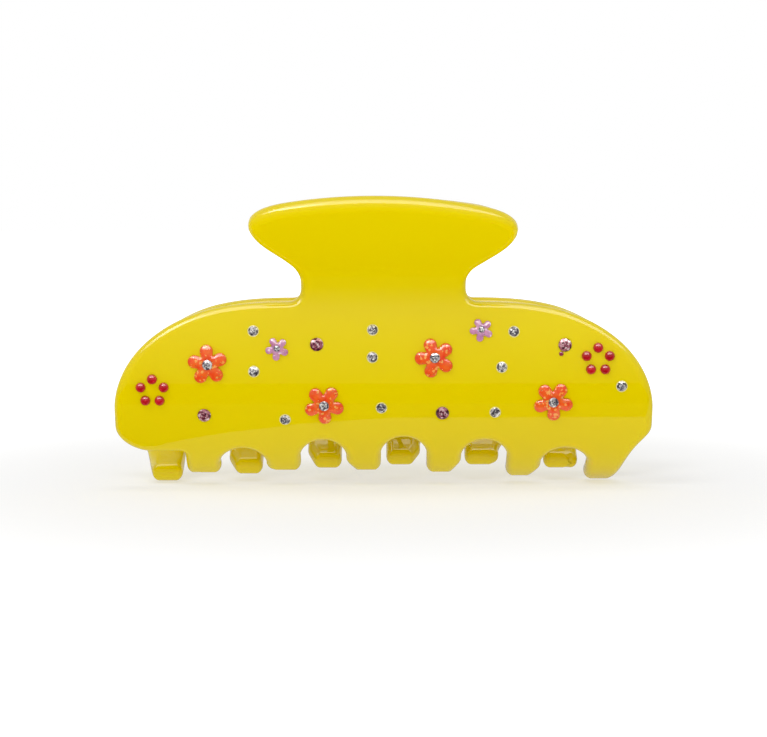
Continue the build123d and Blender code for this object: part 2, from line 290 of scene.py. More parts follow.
@dataclass(frozen=True)
class Acetate(Finish):
    """Polished cellulose acetate: opaque yellow with faint clouding and hairline marks."""

    name: str = "polished_yellow_acetate"
    body: Colour = (0.775, 0.622, 0.0)
    cloud: Colour = (0.765, 0.597, 0.0)
    cloud_size: float = 26 * MM
    smear_size: float = 6 * MM
    hair_width: float = 0.25 * MM
    wave_size: float = 18 * MM
    gloss: float = 0.015
    wear: float = 0.03
    mark_dullness: float = 0.08
    relief: float = 0.12 * MM
    scatter: float = 0.25
    scatter_depth: float = 1.6 * MM

    def surface(self, graph: Graph) -> dict[str, Any]:
        """Clouded colour, polish that is duller in places, and hairline marks."""
        clouds = graph.noise(1 / self.cloud_size, 1.5)
        smear = graph.noise(1 / self.smear_size, 4.0)
        hairs = graph.noise(1 / self.hair_width, 2.0, (0.05, 1.0, 1.0))
        wave = graph.noise(1 / self.wave_size, 1.0)
        marks = hairs.above(0.68) * smear.above(0.52)
        return {
            "Base Color": graph.blend_colours(clouds * 1.6 - 0.3, self.body, self.cloud),
            "Roughness": self.gloss + smear * self.wear + marks * self.mark_dullness,
            "Normal": graph.bump(wave * 0.9 + marks * -0.02, 0.35, self.relief),
            "Subsurface Weight": self.scatter,
            "Subsurface Radius": (1.0, 0.75, 0.05),
            "Subsurface Scale": self.scatter_depth,
            "IOR": 1.49,
        }


@dataclass(frozen=True)
class Resin(Finish):
    """Cast resin with a mottled deeper tone and flecks inside it."""

    name: str
    pale: Colour
    deep: Colour
    fleck: Colour
    fleck_share: float
    glow: float = 0.35
    gloss: float = 0.06
    mottle_size: float = 1.6 * MM
    fleck_size: float = 0.42 * MM
    relief: float = 0.10 * MM
    scatter_depth: float = 0.9 * MM

    def surface(self, graph: Graph) -> dict[str, Any]:
        """Mottled colour with flecks, under a clear wet-looking skin."""
        mottle = graph.noise(1 / self.mottle_size, 3.0)
        cells = graph.add("ShaderNodeTexVoronoi", {"feature": "F1"},
                          {"Vector": graph.place(), "Scale": 1 / self.fleck_size}, out="Color")
        tone = graph.add("ShaderNodeSeparateColor", values={"Color": cells}, out="Red")
        flecks = tone.above(1 - self.fleck_share)
        ground = graph.blend_colours(mottle * 2.2 - 0.6, self.pale, self.deep)
        return {
            "Base Color": graph.blend_colours(flecks * 0.75, ground, self.fleck),
            "Roughness": self.gloss + mottle * 0.05,
            "Normal": graph.bump(mottle, 0.25, self.relief),
            "Subsurface Weight": self.glow,
            "Subsurface Radius": (1.0, 0.35, 0.15),
            "Subsurface Scale": self.scatter_depth,
            "Coat Weight": 0.6,
            "Coat Roughness": 0.03,
            "IOR": 1.55,
        }


@dataclass(frozen=True)
class CutStone(Finish):
    """Foil-backed glass with painted reflections: every facet is painted its own light or dark shade."""

    name: str
    painted_facet_shades: tuple[tuple[float, Colour], ...]
    gloss: float = 0.08
    haze_size: float = 0.5 * MM
    relief: float = 0.02 * MM

    def surface(self, graph: Graph) -> dict[str, Any]:
        """A painted reflection for each facet: a light or dark shade picked by the stone's own facet numbers.
        """
        facet = graph.add("ShaderNodeAttribute", {"attribute_name": "facet"}, out="Fac")
        # painted reflections: the facet numbers pick painted light and dark shades from the ramp
        shade = graph.add("ShaderNodeValToRGB", {"stops": self.painted_facet_shades}, {"Fac": facet})
        haze = graph.noise(1 / self.haze_size, 2.0)
        return {
            "Base Color": shade,
            "Metallic": 0.3,
            "Roughness": self.gloss + haze * 0.05,
            "Normal": graph.bump(haze, 0.05, self.relief),
            "Coat Weight": 1.0,
            "Coat Roughness": 0.02,
        }


@dataclass(frozen=True)
class Glue(Finish):
    """Clear cement that has dried round a stone."""

    name: str = "clear_cement"
    pale: Colour = (0.88, 0.80, 0.38)
    deep: Colour = (0.78, 0.67, 0.16)
    patch_size: float = 0.7 * MM
    relief: float = 0.05 * MM

    def surface(self, graph: Graph) -> dict[str, Any]:
        """Uneven pale film."""
        patches = graph.noise(1 / self.patch_size, 2.0)
        return {
            "Base Color": graph.blend_colours(patches * 1.8 - 0.4, self.pale, self.deep),
            "Roughness": 0.12 + patches * 0.2,
            "Normal": graph.bump(patches, 0.4, self.relief),
            "Coat Weight": 0.5,
        }


@dataclass(frozen=True)
class Flake(Finish):
    """Metallised glitter, some flakes gold and some bright."""

    name: str = "glitter_flakes"
    dull: Colour = (0.95, 0.38, 0.06)
    bright: Colour = (1.0, 0.86, 0.45)

    def surface(self, graph: Graph) -> dict[str, Any]:
        """A tone for each flake."""
        tone = graph.add("ShaderNodeAttribute", {"attribute_name": "facet"}, out="Fac")
        return {
            "Base Color": graph.blend_colours(tone, self.dull, self.bright),
            "Metallic": 0.7,
            "Roughness": 0.18 + tone * 0.15,
        }


@dataclass(frozen=True)
class Steel(Finish):
    """Bright steel with the lines that drawing or turning leaves."""

    name: str
    tone: Colour
    line: float
    along: Colour
    gloss: float = 0.2
    stain_size: float = 2.5 * MM
    worn_share: float = 0.72
    relief: float = 0.03 * MM

    def surface(self, graph: Graph) -> dict[str, Any]:
        """Fine lines in roughness and relief, and faint stains."""
        lines = graph.noise(1 / self.line, 2.0, self.along)
        stain = graph.noise(1 / self.stain_size, 3.0)
        worn = tuple(self.worn_share * part for part in self.tone)
        return {
            "Base Color": graph.blend_colours(stain * 1.4 - 0.3, self.tone, worn),
            "Metallic": 1.0,
            "Roughness": self.gloss + lines * 0.16,
            "Normal": graph.bump(lines, 0.3, self.relief),
        }


YELLOW = Acetate()
ORANGE = Resin("orange_resin_cast", (0.90, 0.165, 0.02), (0.82, 0.045, 0.01), (1.0, 0.50, 0.12), 0.12)
LILAC = Resin("lilac_resin_cast", (0.66, 0.35, 0.53), (0.46, 0.18, 0.36), (0.90, 0.72, 0.88), 0.10)
RED = Resin("red_resin_cast", (0.60, 0.012, 0.022), (0.36, 0.002, 0.008), (0.70, 0.03, 0.04), 0.03, 0.2)
# Ramps of painted facet reflections: near black to white on the clear stones; on the pink stones their own
# pink, painted from dark to pale.
CLEAR = CutStone("clear_stone_foiled", ((0.0, (0.04, 0.035, 0.05)), (0.32, (0.12, 0.11, 0.13)),
                                        (0.62, (0.40, 0.37, 0.40)), (0.88, (1.0, 0.98, 0.95))))
PINK = CutStone("pink_stone_foiled", ((0.0, (0.05, 0.006, 0.015)), (0.45, (0.24, 0.035, 0.07)),
                                      (0.75, (0.50, 0.16, 0.22)), (1.0, (0.98, 0.75, 0.76))))
PINK_CAST = Resin("pink_resin_cast", (0.42, 0.05, 0.11), (0.20, 0.015, 0.04), (0.9, 0.6, 0.65), 0.05, 0.3)
CEMENT = Glue()
GLITTER = Flake()
SPRING_STEEL = Steel("drawn_spring_wire", (0.56, 0.55, 0.53), 0.12 * MM, (0.15, 1.0, 1.0), 0.22)
PIN_STEEL = Steel("turned_pin_steel", (0.66, 0.65, 0.63), 0.10 * MM, (1.0, 0.2, 0.2), 0.16)


# ------------------------------------------------------------ marking out flat


def spline(places: Sequence[Flat], start: Flat, end: Flat, step: float = 0.5) -> list[Flat]:
    """Smooth curve through places that leaves and arrives in given directions.

    Args:
        places: what the curve goes through.
        start: its direction at the first place.
        end: its direction at the last place.
        step: about how far apart its points are.

    Returns:
        Points along the curve, both ends among them.
    """
    p = np.array(places, float)
    span = np.hypot(*np.diff(p, axis=0).T)
    count = len(p)
    system, known = np.zeros((count, count)), np.zeros((count, 2))
    system[0, 0] = system[-1, -1] = 1.0
    known[0], known[-1] = np.array(start) / hypot(*start), np.array(end) / hypot(*end)
    for i in range(1, count - 1):
        before, after = span[i - 1], span[i]
        system[i, i - 1:i + 2] = after, 2 * (before + after), before
        known[i] = 3 * (after * (p[i] - p[i - 1]) / before + before * (p[i + 1] - p[i]) / after)
    slope = np.linalg.solve(system, known)
    points = [tuple(p[0])]
    for i in range(count - 1):
        pieces = max(4, ceil(span[i] / step))
        for u in np.arange(1, pieces + 1) / pieces:
            rise = span[i] * (u * (1 - u) ** 2 * slope[i] - u * u * (1 - u) * slope[i + 1])
            points.append(tuple(p[i] + (3 - 2 * u) * u * u * (p[i + 1] - p[i]) + rise))
    return points


def arc(centre: Flat, radius: float, start: float, end: float, step: float = 0.5) -> list[Flat]:
    """Points along an arc.

    Args:
        centre: its centre.
        radius: its radius.
        start: the angle it starts at, in degrees.
        end: the angle it ends at, in degrees.
        step: about how far apart its points are.

    Returns:
        The points, both ends among them.
    """
    pieces = max(4, ceil(abs(radians(end - start)) * radius / step))
    turn = [radians(start + (end - start) * k / pieces) for k in range(pieces + 1)]
    return [(centre[0] + radius * cos(t), centre[1] + radius * sin(t)) for t in turn]


class Outline:
    """A closed outline, marked out anticlockwise, whose corners are rounded as it is walked."""

    def __init__(self) -> None:
        """Starts with no corners."""
        self.corners: list[Place] = []

    def corner(self, x: float, y: float, radius: float = 0.0) -> "Outline":
        """Adds a corner.

        Args:
            x: its place across.
            y: its place up.
            radius: what it is rounded to.

        Returns:
            The outline.
        """
        self.corners.append((x, y, radius))
        return self

    def follow(self, points: Sequence[Flat]) -> "Outline":
        """Adds points of a curve.

        Args:
            points: the points.

        Returns:
            The outline.
        """
        for x, y in points:
            if not self.corners or hypot(x - self.corners[-1][0], y - self.corners[-1][1]) > 1e-4:
                self.corners.append((x, y, 0.0))
        return self

    def walked(self, step: float) -> np.ndarray:
        """Walks round the outline.

        Args:
            step: the longest stretch between two points.

        Returns:
            The points, one to a row.
        """
        marks = self.corners
        if hypot(marks[0][0] - marks[-1][0], marks[0][1] - marks[-1][1]) < 1e-4:
            marks = marks[:-1]
        path: list[np.ndarray] = []
        for i, (x, y, radius) in enumerate(marks):
            here = np.array((x, y))
            if not radius:
                path.append(here)
                continue
            before = np.array(marks[i - 1][:2]) - here
            after = np.array(marks[(i + 1) % len(marks)][:2]) - here
            before, after = before / np.hypot(*before), after / np.hypot(*after)
            half = 0.5 * np.arccos(np.clip(before @ after, -1, 1))
            reach = radius / tan(half)
            middle = here + (before + after) / np.hypot(*(before + after)) * radius / sin(half)
            first, last = here + before * reach - middle, here + after * reach - middle
            turn = atan2(first[0] * last[1] - first[1] * last[0], first @ last)
            pieces = max(2, ceil(abs(turn) * radius / step))
            for k in range(pieces + 1):
                t = turn * k / pieces
                path.append(middle + (first[0] * cos(t) - first[1] * sin(t),
                                      first[0] * sin(t) + first[1] * cos(t)))
        even: list[np.ndarray] = []
        for here, there in zip(path, path[1:] + path[:1]):
            pieces = max(1, ceil(np.hypot(*(there - here)) / step))
            even += [here + (there - here) * k / pieces for k in range(pieces)]
        return np.array(even)


@dataclass(frozen=True)
class Seat:
    """A round seat drilled in the flat, for a stone or a cabochon."""

    x: float
    y: float
    radius: float
    stretch: float = 1.0


@dataclass
class Blank:
    """A flat blank cut into triangles, with how far each of its points is from the rim."""

    points: np.ndarray
    triangles: np.ndarray
    rims: list[np.ndarray]
    inset: np.ndarray
    outward: np.ndarray

    SHARES = (0.05, 0.19, 0.41, 0.69, 1.0)
    LAST_RING = 0.35
    RING_SLACK = 0.04
    MARGIN = 0.8
    SEAT_MARGIN = 0.75
    SEAT_POINTS = 16
    SEAT_MIDDLE = 0.55
    SEAT_EDGE = (-0.02, 0.06)
    SEAT_OUTER = 0.4
    ROW = 0.866
    BATCH = 400

    @classmethod
    def cut(cls, loops: Sequence[np.ndarray], rim: float, step: float,
            seats: Sequence[Seat] = ()) -> "Blank":
        """Cuts outlines into triangles that are close together near the rim.

        Args:
            loops: the outline, anticlockwise, and then any holes, clockwise.
            rim: width of the rounded rim.
            step: size of the triangles inside it.
            seats: round seats that get rings of points of their own.

        Returns:
            The blank.
        """
        points = np.concatenate(loops)
        edges, first = [], 0
        for loop in loops:
            edges += [(first + k, first + (k + 1) % len(loop)) for k in range(len(loop))]
            first += len(loop)
        starts, ends = points[[a for a, _ in edges]], points[[b for _, b in edges]]
        inner = []
        for share in (*cls.SHARES, 1.0 + cls.LAST_RING * step / rim):
            for loop in loops:
                ahead = np.roll(loop, -1, 0) - np.roll(loop, 1, 0)
                inward = np.stack([-ahead[:, 1], ahead[:, 0]], 1) / np.hypot(*ahead.T)[:, None]
                ring = loop + inward * share * rim
                gap, _ = cls._distance(ring, starts, ends)
                inner.append(ring[np.abs(gap - share * rim) < cls.RING_SLACK * share * rim + 1e-3])
        low, high = points.min(0), points.max(0)
        rows = np.arange(low[1], high[1], step * cls.ROW)
        grid = np.array([(x + step / 2 * (k % 2), y) for k, y in enumerate(rows)
                         for x in np.arange(low[0], high[0], step)])
        gap, _ = cls._distance(grid, starts, ends)
        grid = grid[cls._inside(grid, starts, ends) & (gap > rim + cls.MARGIN * step)]
        for seat in seats:
            off = (grid - (seat.x, seat.y)) / (1, seat.stretch)
            grid = grid[np.hypot(*off.T) > seat.radius + cls.SEAT_MARGIN * step]
            inner.append(cls._seat_rings(seat, step))
        every = np.concatenate([points, *inner, grid])
        made = delaunay_2d_cdt([Vector(p) for p in every], edges, [], 0, 1e-6)
        flat = np.array([tuple(v) for v in made[0]])
        triangles = np.array([f for f in made[2] if len(f) == 3])
        middles = flat[triangles].mean(1)
        triangles = triangles[cls._inside(middles, starts, ends)]
        moved = {old: new for new, olds in enumerate(made[3]) for old in olds}
        rims, first = [], 0
        for loop in loops:
            rims.append(np.array([moved[first + k] for k in range(len(loop))]))
            first += len(loop)
        inset, outward = cls._distance(flat, starts, ends)
        for loop, rim_points in zip(loops, rims):
            ahead = np.roll(loop, -1, 0) - np.roll(loop, 1, 0)
            inset[rim_points] = 0.0
            outward[rim_points] = np.stack([ahead[:, 1], -ahead[:, 0]], 1) / np.hypot(*ahead.T)[:, None]
        return cls(flat, triangles, rims, inset, outward)

    @classmethod
    def _seat_rings(cls, seat: Seat, step: float) -> np.ndarray:
        """Rings of points in and round a seat.

        Args:
            seat: the seat.
            step: size of the triangles round it.

        Returns:
            The points.
        """
        rings = [np.zeros((1, 2))]
        turn = np.arange(cls.SEAT_POINTS) * 2 * pi / cls.SEAT_POINTS
        edge = [seat.radius + past for past in cls.SEAT_EDGE]
        for radius in (cls.SEAT_MIDDLE * seat.radius, *edge, seat.radius + cls.SEAT_OUTER * step):
            rings.append(radius * np.stack([np.cos(turn), np.sin(turn)], 1))
        return np.concatenate(rings) * (1, seat.stretch) + (seat.x, seat.y)

    @classmethod
    def _distance(cls, places: np.ndarray, starts: np.ndarray,
                  ends: np.ndarray) -> tuple[np.ndarray, np.ndarray]:
        """How far places are from the nearest of many edges.

        Args:
            places: one to a row.
            starts: where each edge starts.
            ends: where it ends.

        Returns:
            The distances, and the directions from the places to the edges.
        """
        gaps, ways = [], []
        run = ends - starts
        for some in np.array_split(places, max(1, len(places) // cls.BATCH)):
            off = some[:, None] - starts[None]
            share = np.clip((off * run).sum(2) / (run * run).sum(1), 0, 1)
            away = off - share[..., None] * run
            size = np.hypot(away[..., 0], away[..., 1])
            near = size.argmin(1)
            pick = np.arange(len(some))
            gaps.append(size[pick, near])
            ways.append(-away[pick, near] / np.maximum(size[pick, near], 1e-9)[:, None])
        return np.concatenate(gaps), np.concatenate(ways)

    @staticmethod
    def _inside(places: np.ndarray, starts: np.ndarray, ends: np.ndarray) -> np.ndarray:
        """Which places are inside the outlines.

        Args:
            places: one to a row.
            starts: where each edge starts.
            ends: where it ends.

        Returns:
            True for each place that is inside.
        """
        found = np.zeros(len(places), bool)
        for (ax, ay), (bx, by) in zip(starts, ends):
            if ay == by:
                continue
            crosses = (ay > places[:, 1]) != (by > places[:, 1])
            at = ax + (places[:, 1] - ay) * (bx - ax) / (by - ay)
            found ^= crosses & (places[:, 0] < at)
        return found

    def rounding(self, rim: float) -> tuple[np.ndarray, np.ndarray]:
        """How the rounded rim falls away.

        Args:
            rim: its radius.

        Returns:
            The cosine and the sine of the surface's turn from the rim to the flat.
        """
        across = np.clip((rim - self.inset) / rim, 0, 1)
        return across, np.sqrt(1 - across ** 2)

    def skin(self) -> list[tuple[int, ...]]:
        """Faces of a closed shell: the top, the underside and the wall between them."""
        size = len(self.points)
        faces = [tuple(t) for t in self.triangles.tolist()]
        faces += [(a + size, c + size, b + size) for a, b, c in self.triangles.tolist()]
        for loop in self.rims:
            for a, b in zip(loop.tolist(), np.roll(loop, -1).tolist()):
                faces.append((b, a, a + size, b + size))
        return faces


def make_piece(name: str, points: np.ndarray, faces: Sequence[Sequence[int]], finish: Finish,
               smooth: bool = True) -> bpy.types.Object:
    """Makes a piece from points in millimetres.

    Args:
        name: the piece's name.
        points: one to a row.
        faces: the numbers of each face's points.
        finish: its finish.
        smooth: whether it is shaded smooth.

    Returns:
        The piece, at the origin.
    """
    mesh = bpy.data.meshes.new(name)
    mesh.from_pydata((np.asarray(points) * MM).tolist(), [], faces)
    mesh.validate()
    mesh.polygons.foreach_set("use_smooth", [smooth] * len(mesh.polygons))
    mesh.materials.append(finish.material)
    piece = bpy.data.objects.new(name, mesh)
    bpy.context.scene.collection.objects.link(piece)
    return piece


def set_normals(piece: bpy.types.Object, normals: np.ndarray, known: np.ndarray) -> None:
    """Gives a piece the exact normals of its surface.

    Args:
        piece: the piece.
        normals: a normal for each point.
        known: True where that normal holds, else the mesh's own is kept.
    """
    mesh = piece.data
    own = np.zeros(len(mesh.vertices) * 3)
    mesh.vertex_normals.foreach_get("vector", own)
    both = np.where(known[:, None], normals, own.reshape(-1, 3))
    mesh.normals_split_custom_set_from_vertices(both.tolist())


def log_piece(piece: bpy.types.Object, half: Half | None, slot: Slot | None, *nodes: str) -> None:
    """Sets a finished piece on its half and reports it.

    Args:
        piece: the piece.
        half: the half that it moves with, or None if that is already settled.
        slot: the record's material slot, or None if it has none; it is not used.
        nodes: the CAD nodes that it stands for.
    """
    if half is not None:
        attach(piece, half.value)
    if nodes:
        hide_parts(*nodes)
    LOG.info("%s: %d faces, stands for %s", piece.name, len(piece.data.polygons), list(nodes))


def half_turn(points: np.ndarray) -> np.ndarray:
    """Points turned half round about Z."""
    return points * (-1, -1, 1)


# ------------------------------------------------------------- the bent sheet


@dataclass(frozen=True)
class SheetProfile:
    """Profile of one jaw's sheet. Tilts are those of its outer face, in degrees above level."""

    sheet: float = 4.0
    belly_depth: float = 14.6
    body_radius: float = 35.0
    body_top: float = 18.0
    body_low: float = -20.0
    curl_radius: float = 17.2
    tip: float = -80.0
    neck_radius: float = 11.0
    handle: float = -41.0
    handle_length: float = 15.8

    def arc_point(self, centre: Flat, radius: float, tilt: float) -> Flat:
        """Point at a tilt on an arc, as (front, up)."""
        return centre[0] + radius * cos(radians(tilt)), centre[1] + radius * sin(radians(tilt))

    def _centres(self, height: float) -> tuple[Flat, Flat, Flat]:
        """Centres of the body, the curl and the neck bend, with the belly at a height."""
        body = (self.belly_depth - self.sheet / 2 - self.body_radius, height)
        low = self.arc_point(body, self.body_radius, self.body_low)
        top = self.arc_point(body, self.body_radius, self.body_top)
        curl = self.arc_point(low, -self.curl_radius, self.body_low)
        return body, curl, self.arc_point(top, self.neck_radius, self.body_top)

    @cached_property
    def centres(self) -> tuple[Flat, Flat, Flat]:
        """Centres of the three arcs, with the tips of the teeth on the ground."""
        reach = self.curl_radius + self.sheet / 2
        return self._centres(-self.arc_point(self._centres(0.0)[1], reach, self.tip)[1])

    @property
    def outer_radius(self) -> float:
        """Radius of the belly's outer face."""
        return self.body_radius + self.sheet / 2

    @property
    def low(self) -> float:
        """How far up the sheet the curl meets the body; the belly's middle is 0."""
        return radians(self.body_low) * self.body_radius

    @property
    def top(self) -> float:
        """How far up the sheet the body meets the neck bend."""
        return radians(self.body_top) * self.body_radius

    @property
    def straight(self) -> float:
        """How far up the sheet the neck bend meets the straight handle."""
        return self.top + radians(self.body_top - self.handle) * self.neck_radius

    def up_sheet(self, tilt: float) -> float:
        """How far up the sheet a tilt of the curl or the body is."""
        if tilt < self.body_low:
            return self.low + radians(tilt - self.body_low) * self.curl_radius
        return radians(tilt) * self.body_radius

    def up_neck(self, tilt: float) -> float:
        """How far up the sheet a tilt of the neck bend is."""
        return self.top + radians(self.body_top - tilt) * self.neck_radius

    def at_height(self, height: float) -> float:
        """How far up the sheet a height above the ground is, on the body or the neck."""
        body, _, neck = self.centres
        if height <= body[1] + self.body_radius * sin(radians(self.body_top)):
            return asin((height - body[1]) / self.body_radius) * self.body_radius
        return self.up_neck(degrees(asin((neck[1] - height) / self.neck_radius)))

    def tilt_at(self, up: np.ndarray) -> np.ndarray:
        """Tilt of the sheet, in radians, at distances up it."""
        neck = np.maximum(radians(self.body_top) - (up - self.top) / self.neck_radius, radians(self.handle))
        curl = radians(self.body_low) + (up - self.low) / self.curl_radius
        return np.select([up < self.low, up < self.top], [curl, up / self.body_radius], neck)

    def bend(self, flat: np.ndarray, off: np.ndarray) -> np.ndarray:
        """Bends flat points to the profile.

        Args:
            flat: (across, up the sheet), one to a row.
            off: how far each point is outside the middle of the sheet.

        Returns:
            The points of the front jaw.
        """
        up = flat[:, 1]
        tilt = self.tilt_at(up)
        body, curl, neck = self.centres
        zones = [up < self.low, up < self.top]
        radius = np.select(zones, [self.curl_radius, self.body_radius], -self.neck_radius) + off
        over = np.maximum(up - self.straight, 0.0)
        front = np.select(zones, [curl[0], body[0]], neck[0]) + radius * np.cos(tilt) - over * np.sin(tilt)
        height = np.select(zones, [curl[1], body[1]], neck[1]) + radius * np.sin(tilt) + over * np.cos(tilt)
        return np.stack([flat[:, 0], -front, height], 1)

    def turn(self, flat: np.ndarray, across: np.ndarray, out: np.ndarray) -> np.ndarray:
        """Turns flat directions with the bend.

        Args:
            flat: where they are.
            across: their part in the plane of the flat sheet.
            out: their part square to it.

        Returns:
            The directions on the front jaw.
        """
        tilt = self.tilt_at(flat[:, 1])
        front = out * np.cos(tilt) - across[:, 1] * np.sin(tilt)
        return np.stack([across[:, 0], -front, out * np.sin(tilt) + across[:, 1] * np.cos(tilt)], 1)


PROFILE = SheetProfile()


@dataclass
class Jaw:
    """One jaw: a handle, a neck, a rounded body and six teeth in one bent sheet."""

    half: Half
    length: float = 108.4
    neck_width: float = 33.2
    handle_width: float = 53.1
    crown: float = 2.1
    widest: float = 8.4
    corner_in: float = 7.6
    crown_lean: float = -0.22
    underside: Flat = (1.3, 3.3)
    flare: float = 3.3
    waist_tilt: float = -13.0
    neck_fillet: float = 2.6
    lean: float = 1.3
    edge_tilt: float = 7.5
    shoulder: Flat = (17.0, 2.2)
    side: Flat = (3.4, 2.0)
    end_tilt: float = -14.5
    teeth: int = 6
    tooth_width: float = 7.1
    tooth_inset: float = 9.1
    outer_taper: Flat = (1.7, 3.9)
    inner_taper: Flat = (0.4, 1.4)
    tips_radius: float = 270.0
    tips_middle: float = -12.0
    gap_tilt: float = -28.3
    gaps_radius: float = 205.0
    heel_tilt: float = -39.6
    heel_length: float = 6.5
    heel_fillet: float = 0.9
    corner: Flat = (2.2, -33.1)
    last_lean: float = -0.36
    last_inset: float = 1.1
    mark_tilt: float = -42.0
    rim: float = 1.8
    tip_corner: float = 1.3
    last_clear: float = 2.6
    rim_step: float = 0.5
    step: float = 1.1
    seat_depth: float = 0.8
    seat_spare: float = 0.03
    seat_edge: float = 0.1

    @property
    def pitch(self) -> float:
        """From one tooth to the next."""
        return (self.length - 2 * self.tooth_inset) / (self.teeth - 0.5)

    @property
    def last_tooth(self) -> float:
        """Middle of the last tooth."""
        return self.length / 2 - self.tooth_inset

    @property
    def last_side(self) -> float:
        """Where the last tooth's long outer side meets its tip."""
        return self.last_tooth + self.tooth_width / 2 - self.last_inset

    def tip_line(self, x: float) -> float:
        """How far up the sheet the line of the tips is."""
        middle = self.tips_middle
        lift = ((self.last_tooth - middle) ** 2 - (x - middle) ** 2) / (2 * self.tips_radius)
        return PROFILE.up_sheet(PROFILE.tip) + lift

    def gap_line(self, x: float) -> float:
        """How far up the sheet the tops of the gaps are."""
        return PROFILE.up_sheet(self.gap_tilt) - (x - self.pitch / 4) ** 2 / (2 * self.gaps_radius)

    def upper_half(self) -> list[Flat]:
        """Right side of the handle, the neck and the body, from the crown down to the jaw's end."""
        base, neck, wide = PROFILE.straight, self.neck_width / 2, self.handle_width / 2
        top = PROFILE.handle_length
        crown = (wide - self.corner_in, top - self.crown)
        radius = (crown[0] ** 2 + self.crown ** 2) / (2 * self.crown)
        spread = degrees(asin(crown[0] / radius))
        waist = -radians(self.waist_tilt - PROFILE.handle) * PROFILE.neck_radius
        handle = arc((0, top - radius), radius, 90, 90 - spread, 1.0)
        handle += spline([crown, (wide, self.widest)], (1, self.crown_lean), (0, -1))
        under = (wide - self.underside[0], self.widest - self.underside[1])
        places = [(wide, self.widest), under, (neck + self.flare, 0), (neck, waist)]
        handle += spline(places, (0, -1), (0, -1))
        height = PROFILE.centres[2][1] - PROFILE.neck_radius * sin(radians(self.edge_tilt))
        fillet = arc((neck + self.neck_fillet, height + self.neck_fillet), self.neck_fillet, 180, 270)
        half = self.length / 2
        side = (half - self.side[0], PROFILE.centres[0][1] + PROFILE.body_radius * sin(radians(self.side[1])))
        end = (half, PROFILE.centres[0][1] + PROFILE.body_radius * sin(radians(self.end_tilt)))
        shoulder = (half - self.shoulder[0], height - self.shoulder[1])
        body = fillet + spline([fillet[-1], shoulder, side, end], (1, 0), (0, -1))
        return [(x, y + base) for x, y in handle] + [(x, PROFILE.at_height(z)) for x, z in body]

    def leaned(self, side: float, points: Sequence[Flat]) -> list[Flat]:
        """Leans one side of the handle, more the further it is from the neck.

        Args:
            side: 1 for the right side and -1 for the left.
            points: the right side's points.

        Returns:
            That side's points.
        """
        neck = PROFILE.up_neck(self.waist_tilt)
        found = []
        for x, y in points:
            share = min(1.0, max(0.0, (y - neck) / (PROFILE.straight - neck)))
            found.append((side * x, y - share * radians(self.lean) * side * x))
        return found

    def _marked(self, tilt: float) -> float:
        """Height of a tilt of the curl in the plane that the ends are marked in."""
        return PROFILE.curl_radius * sin(radians(tilt - self.mark_tilt))

    def _unmarked(self, points: Sequence[Flat]) -> list[Flat]:
        """Points from that plane, laid flat."""
        tilts = [self.mark_tilt + degrees(asin(y / PROFILE.curl_radius)) for _, y in points]
        return [(x, PROFILE.up_sheet(tilt)) for (x, _), tilt in zip(points, tilts)]

    def outline(self) -> Outline:
        """The whole outline, anticlockwise from the middle of the crown."""
        upper = self.upper_half()
        half, width = self.length / 2, self.tooth_width / 2
        side, heel = self._marked(PROFILE.body_low), self._marked(self.heel_tilt)
        first = self.last_tooth - (self.teeth - 1) * self.pitch - width
        path = Outline().follow(self.leaned(-1, upper))
        end = spline([(-half, side), (first - self.heel_length, heel)], (0, -1), (1, 0))
        path.follow(self._unmarked(end))
        path.corner(first, PROFILE.up_sheet(self.heel_tilt), self.heel_fillet)
        for k in reversed(range(self.teeth)):
            x = self.last_tooth - k * self.pitch
            tip = self.tip_line(x)
            left, right = (self.outer_taper, self.inner_taper)[::1 if x < 0 else -1]
            gap, middle = self.pitch / 2 - width, x + self.pitch / 2
            rises = [self.gap_line(x + way * self.pitch / 2) - gap - tip - self.tip_corner for way in (-1, 1)]
            path.corner(x - width, tip + min(left[1], rises[0]), self.tip_corner)
            path.corner(x - width + left[0], tip, self.tip_corner)
            if k:
                path.corner(x + width - right[0], tip, self.tip_corner)
                path.corner(x + width, tip + min(right[1], rises[1]), self.tip_corner)
                path.follow(arc((middle, self.gap_line(middle) - gap), gap, 180, 0))
            else:
                path.corner(self.last_side, tip, self.tip_corner)
        outer = (half - self.corner[0], self._marked(self.corner[1]))
        start = (self.last_side, self._marked(PROFILE.tip))
        rise = spline([start, outer, (half, side)], (-self.last_lean, 1), (0, 1))
        path.follow([p for p in self._unmarked(rise) if p[1] > self.tip_line(start[0]) + self.last_clear])
        return path.follow(self.leaned(1, upper)[::-1])

    def build(self, name: str, seats: Sequence[Seat] = ()) -> bpy.types.Object:
        """Cuts, rounds and bends the jaw.

        Args:
            name: the CAD node that it stands for.
            seats: where it is drilled.

        Returns:
            The piece.
        """
        blank = Blank.cut([self.outline().walked(self.rim_step)], self.rim, self.step, seats)
        across, out = blank.rounding(self.rim)
        off = PROFILE.sheet / 2 - self.rim * (1 - out)
        known = np.ones(2 * len(off), bool)
        upper_off = off.copy()
        for seat in seats:
            reach = np.hypot(*((blank.points - (seat.x, seat.y)) / (1, seat.stretch)).T)
            sunk = np.clip((seat.radius + self.seat_spare - reach) / seat.radius, 0, 1)
            upper_off -= self.seat_depth * np.minimum(1.0, 2.0 * sunk)
            known[:len(off)] &= reach > seat.radius + self.seat_edge
        points = np.concatenate([PROFILE.bend(blank.points, upper_off), PROFILE.bend(blank.points, -off)])
        side = blank.outward * across[:, None]
        normals = np.concatenate([PROFILE.turn(blank.points, side, way * out) for way in (1, -1)])
        if self.half is Half.REAR:
            points, normals = half_turn(points), half_turn(normals)
        piece = make_piece(f"{name}_moulded", points, blank.skin(), YELLOW)
        set_normals(piece, normals, known)
        log_piece(piece, self.half, Slot.ACETATE, name)
        return piece


# ------------------------------------------------------------------ the hinge


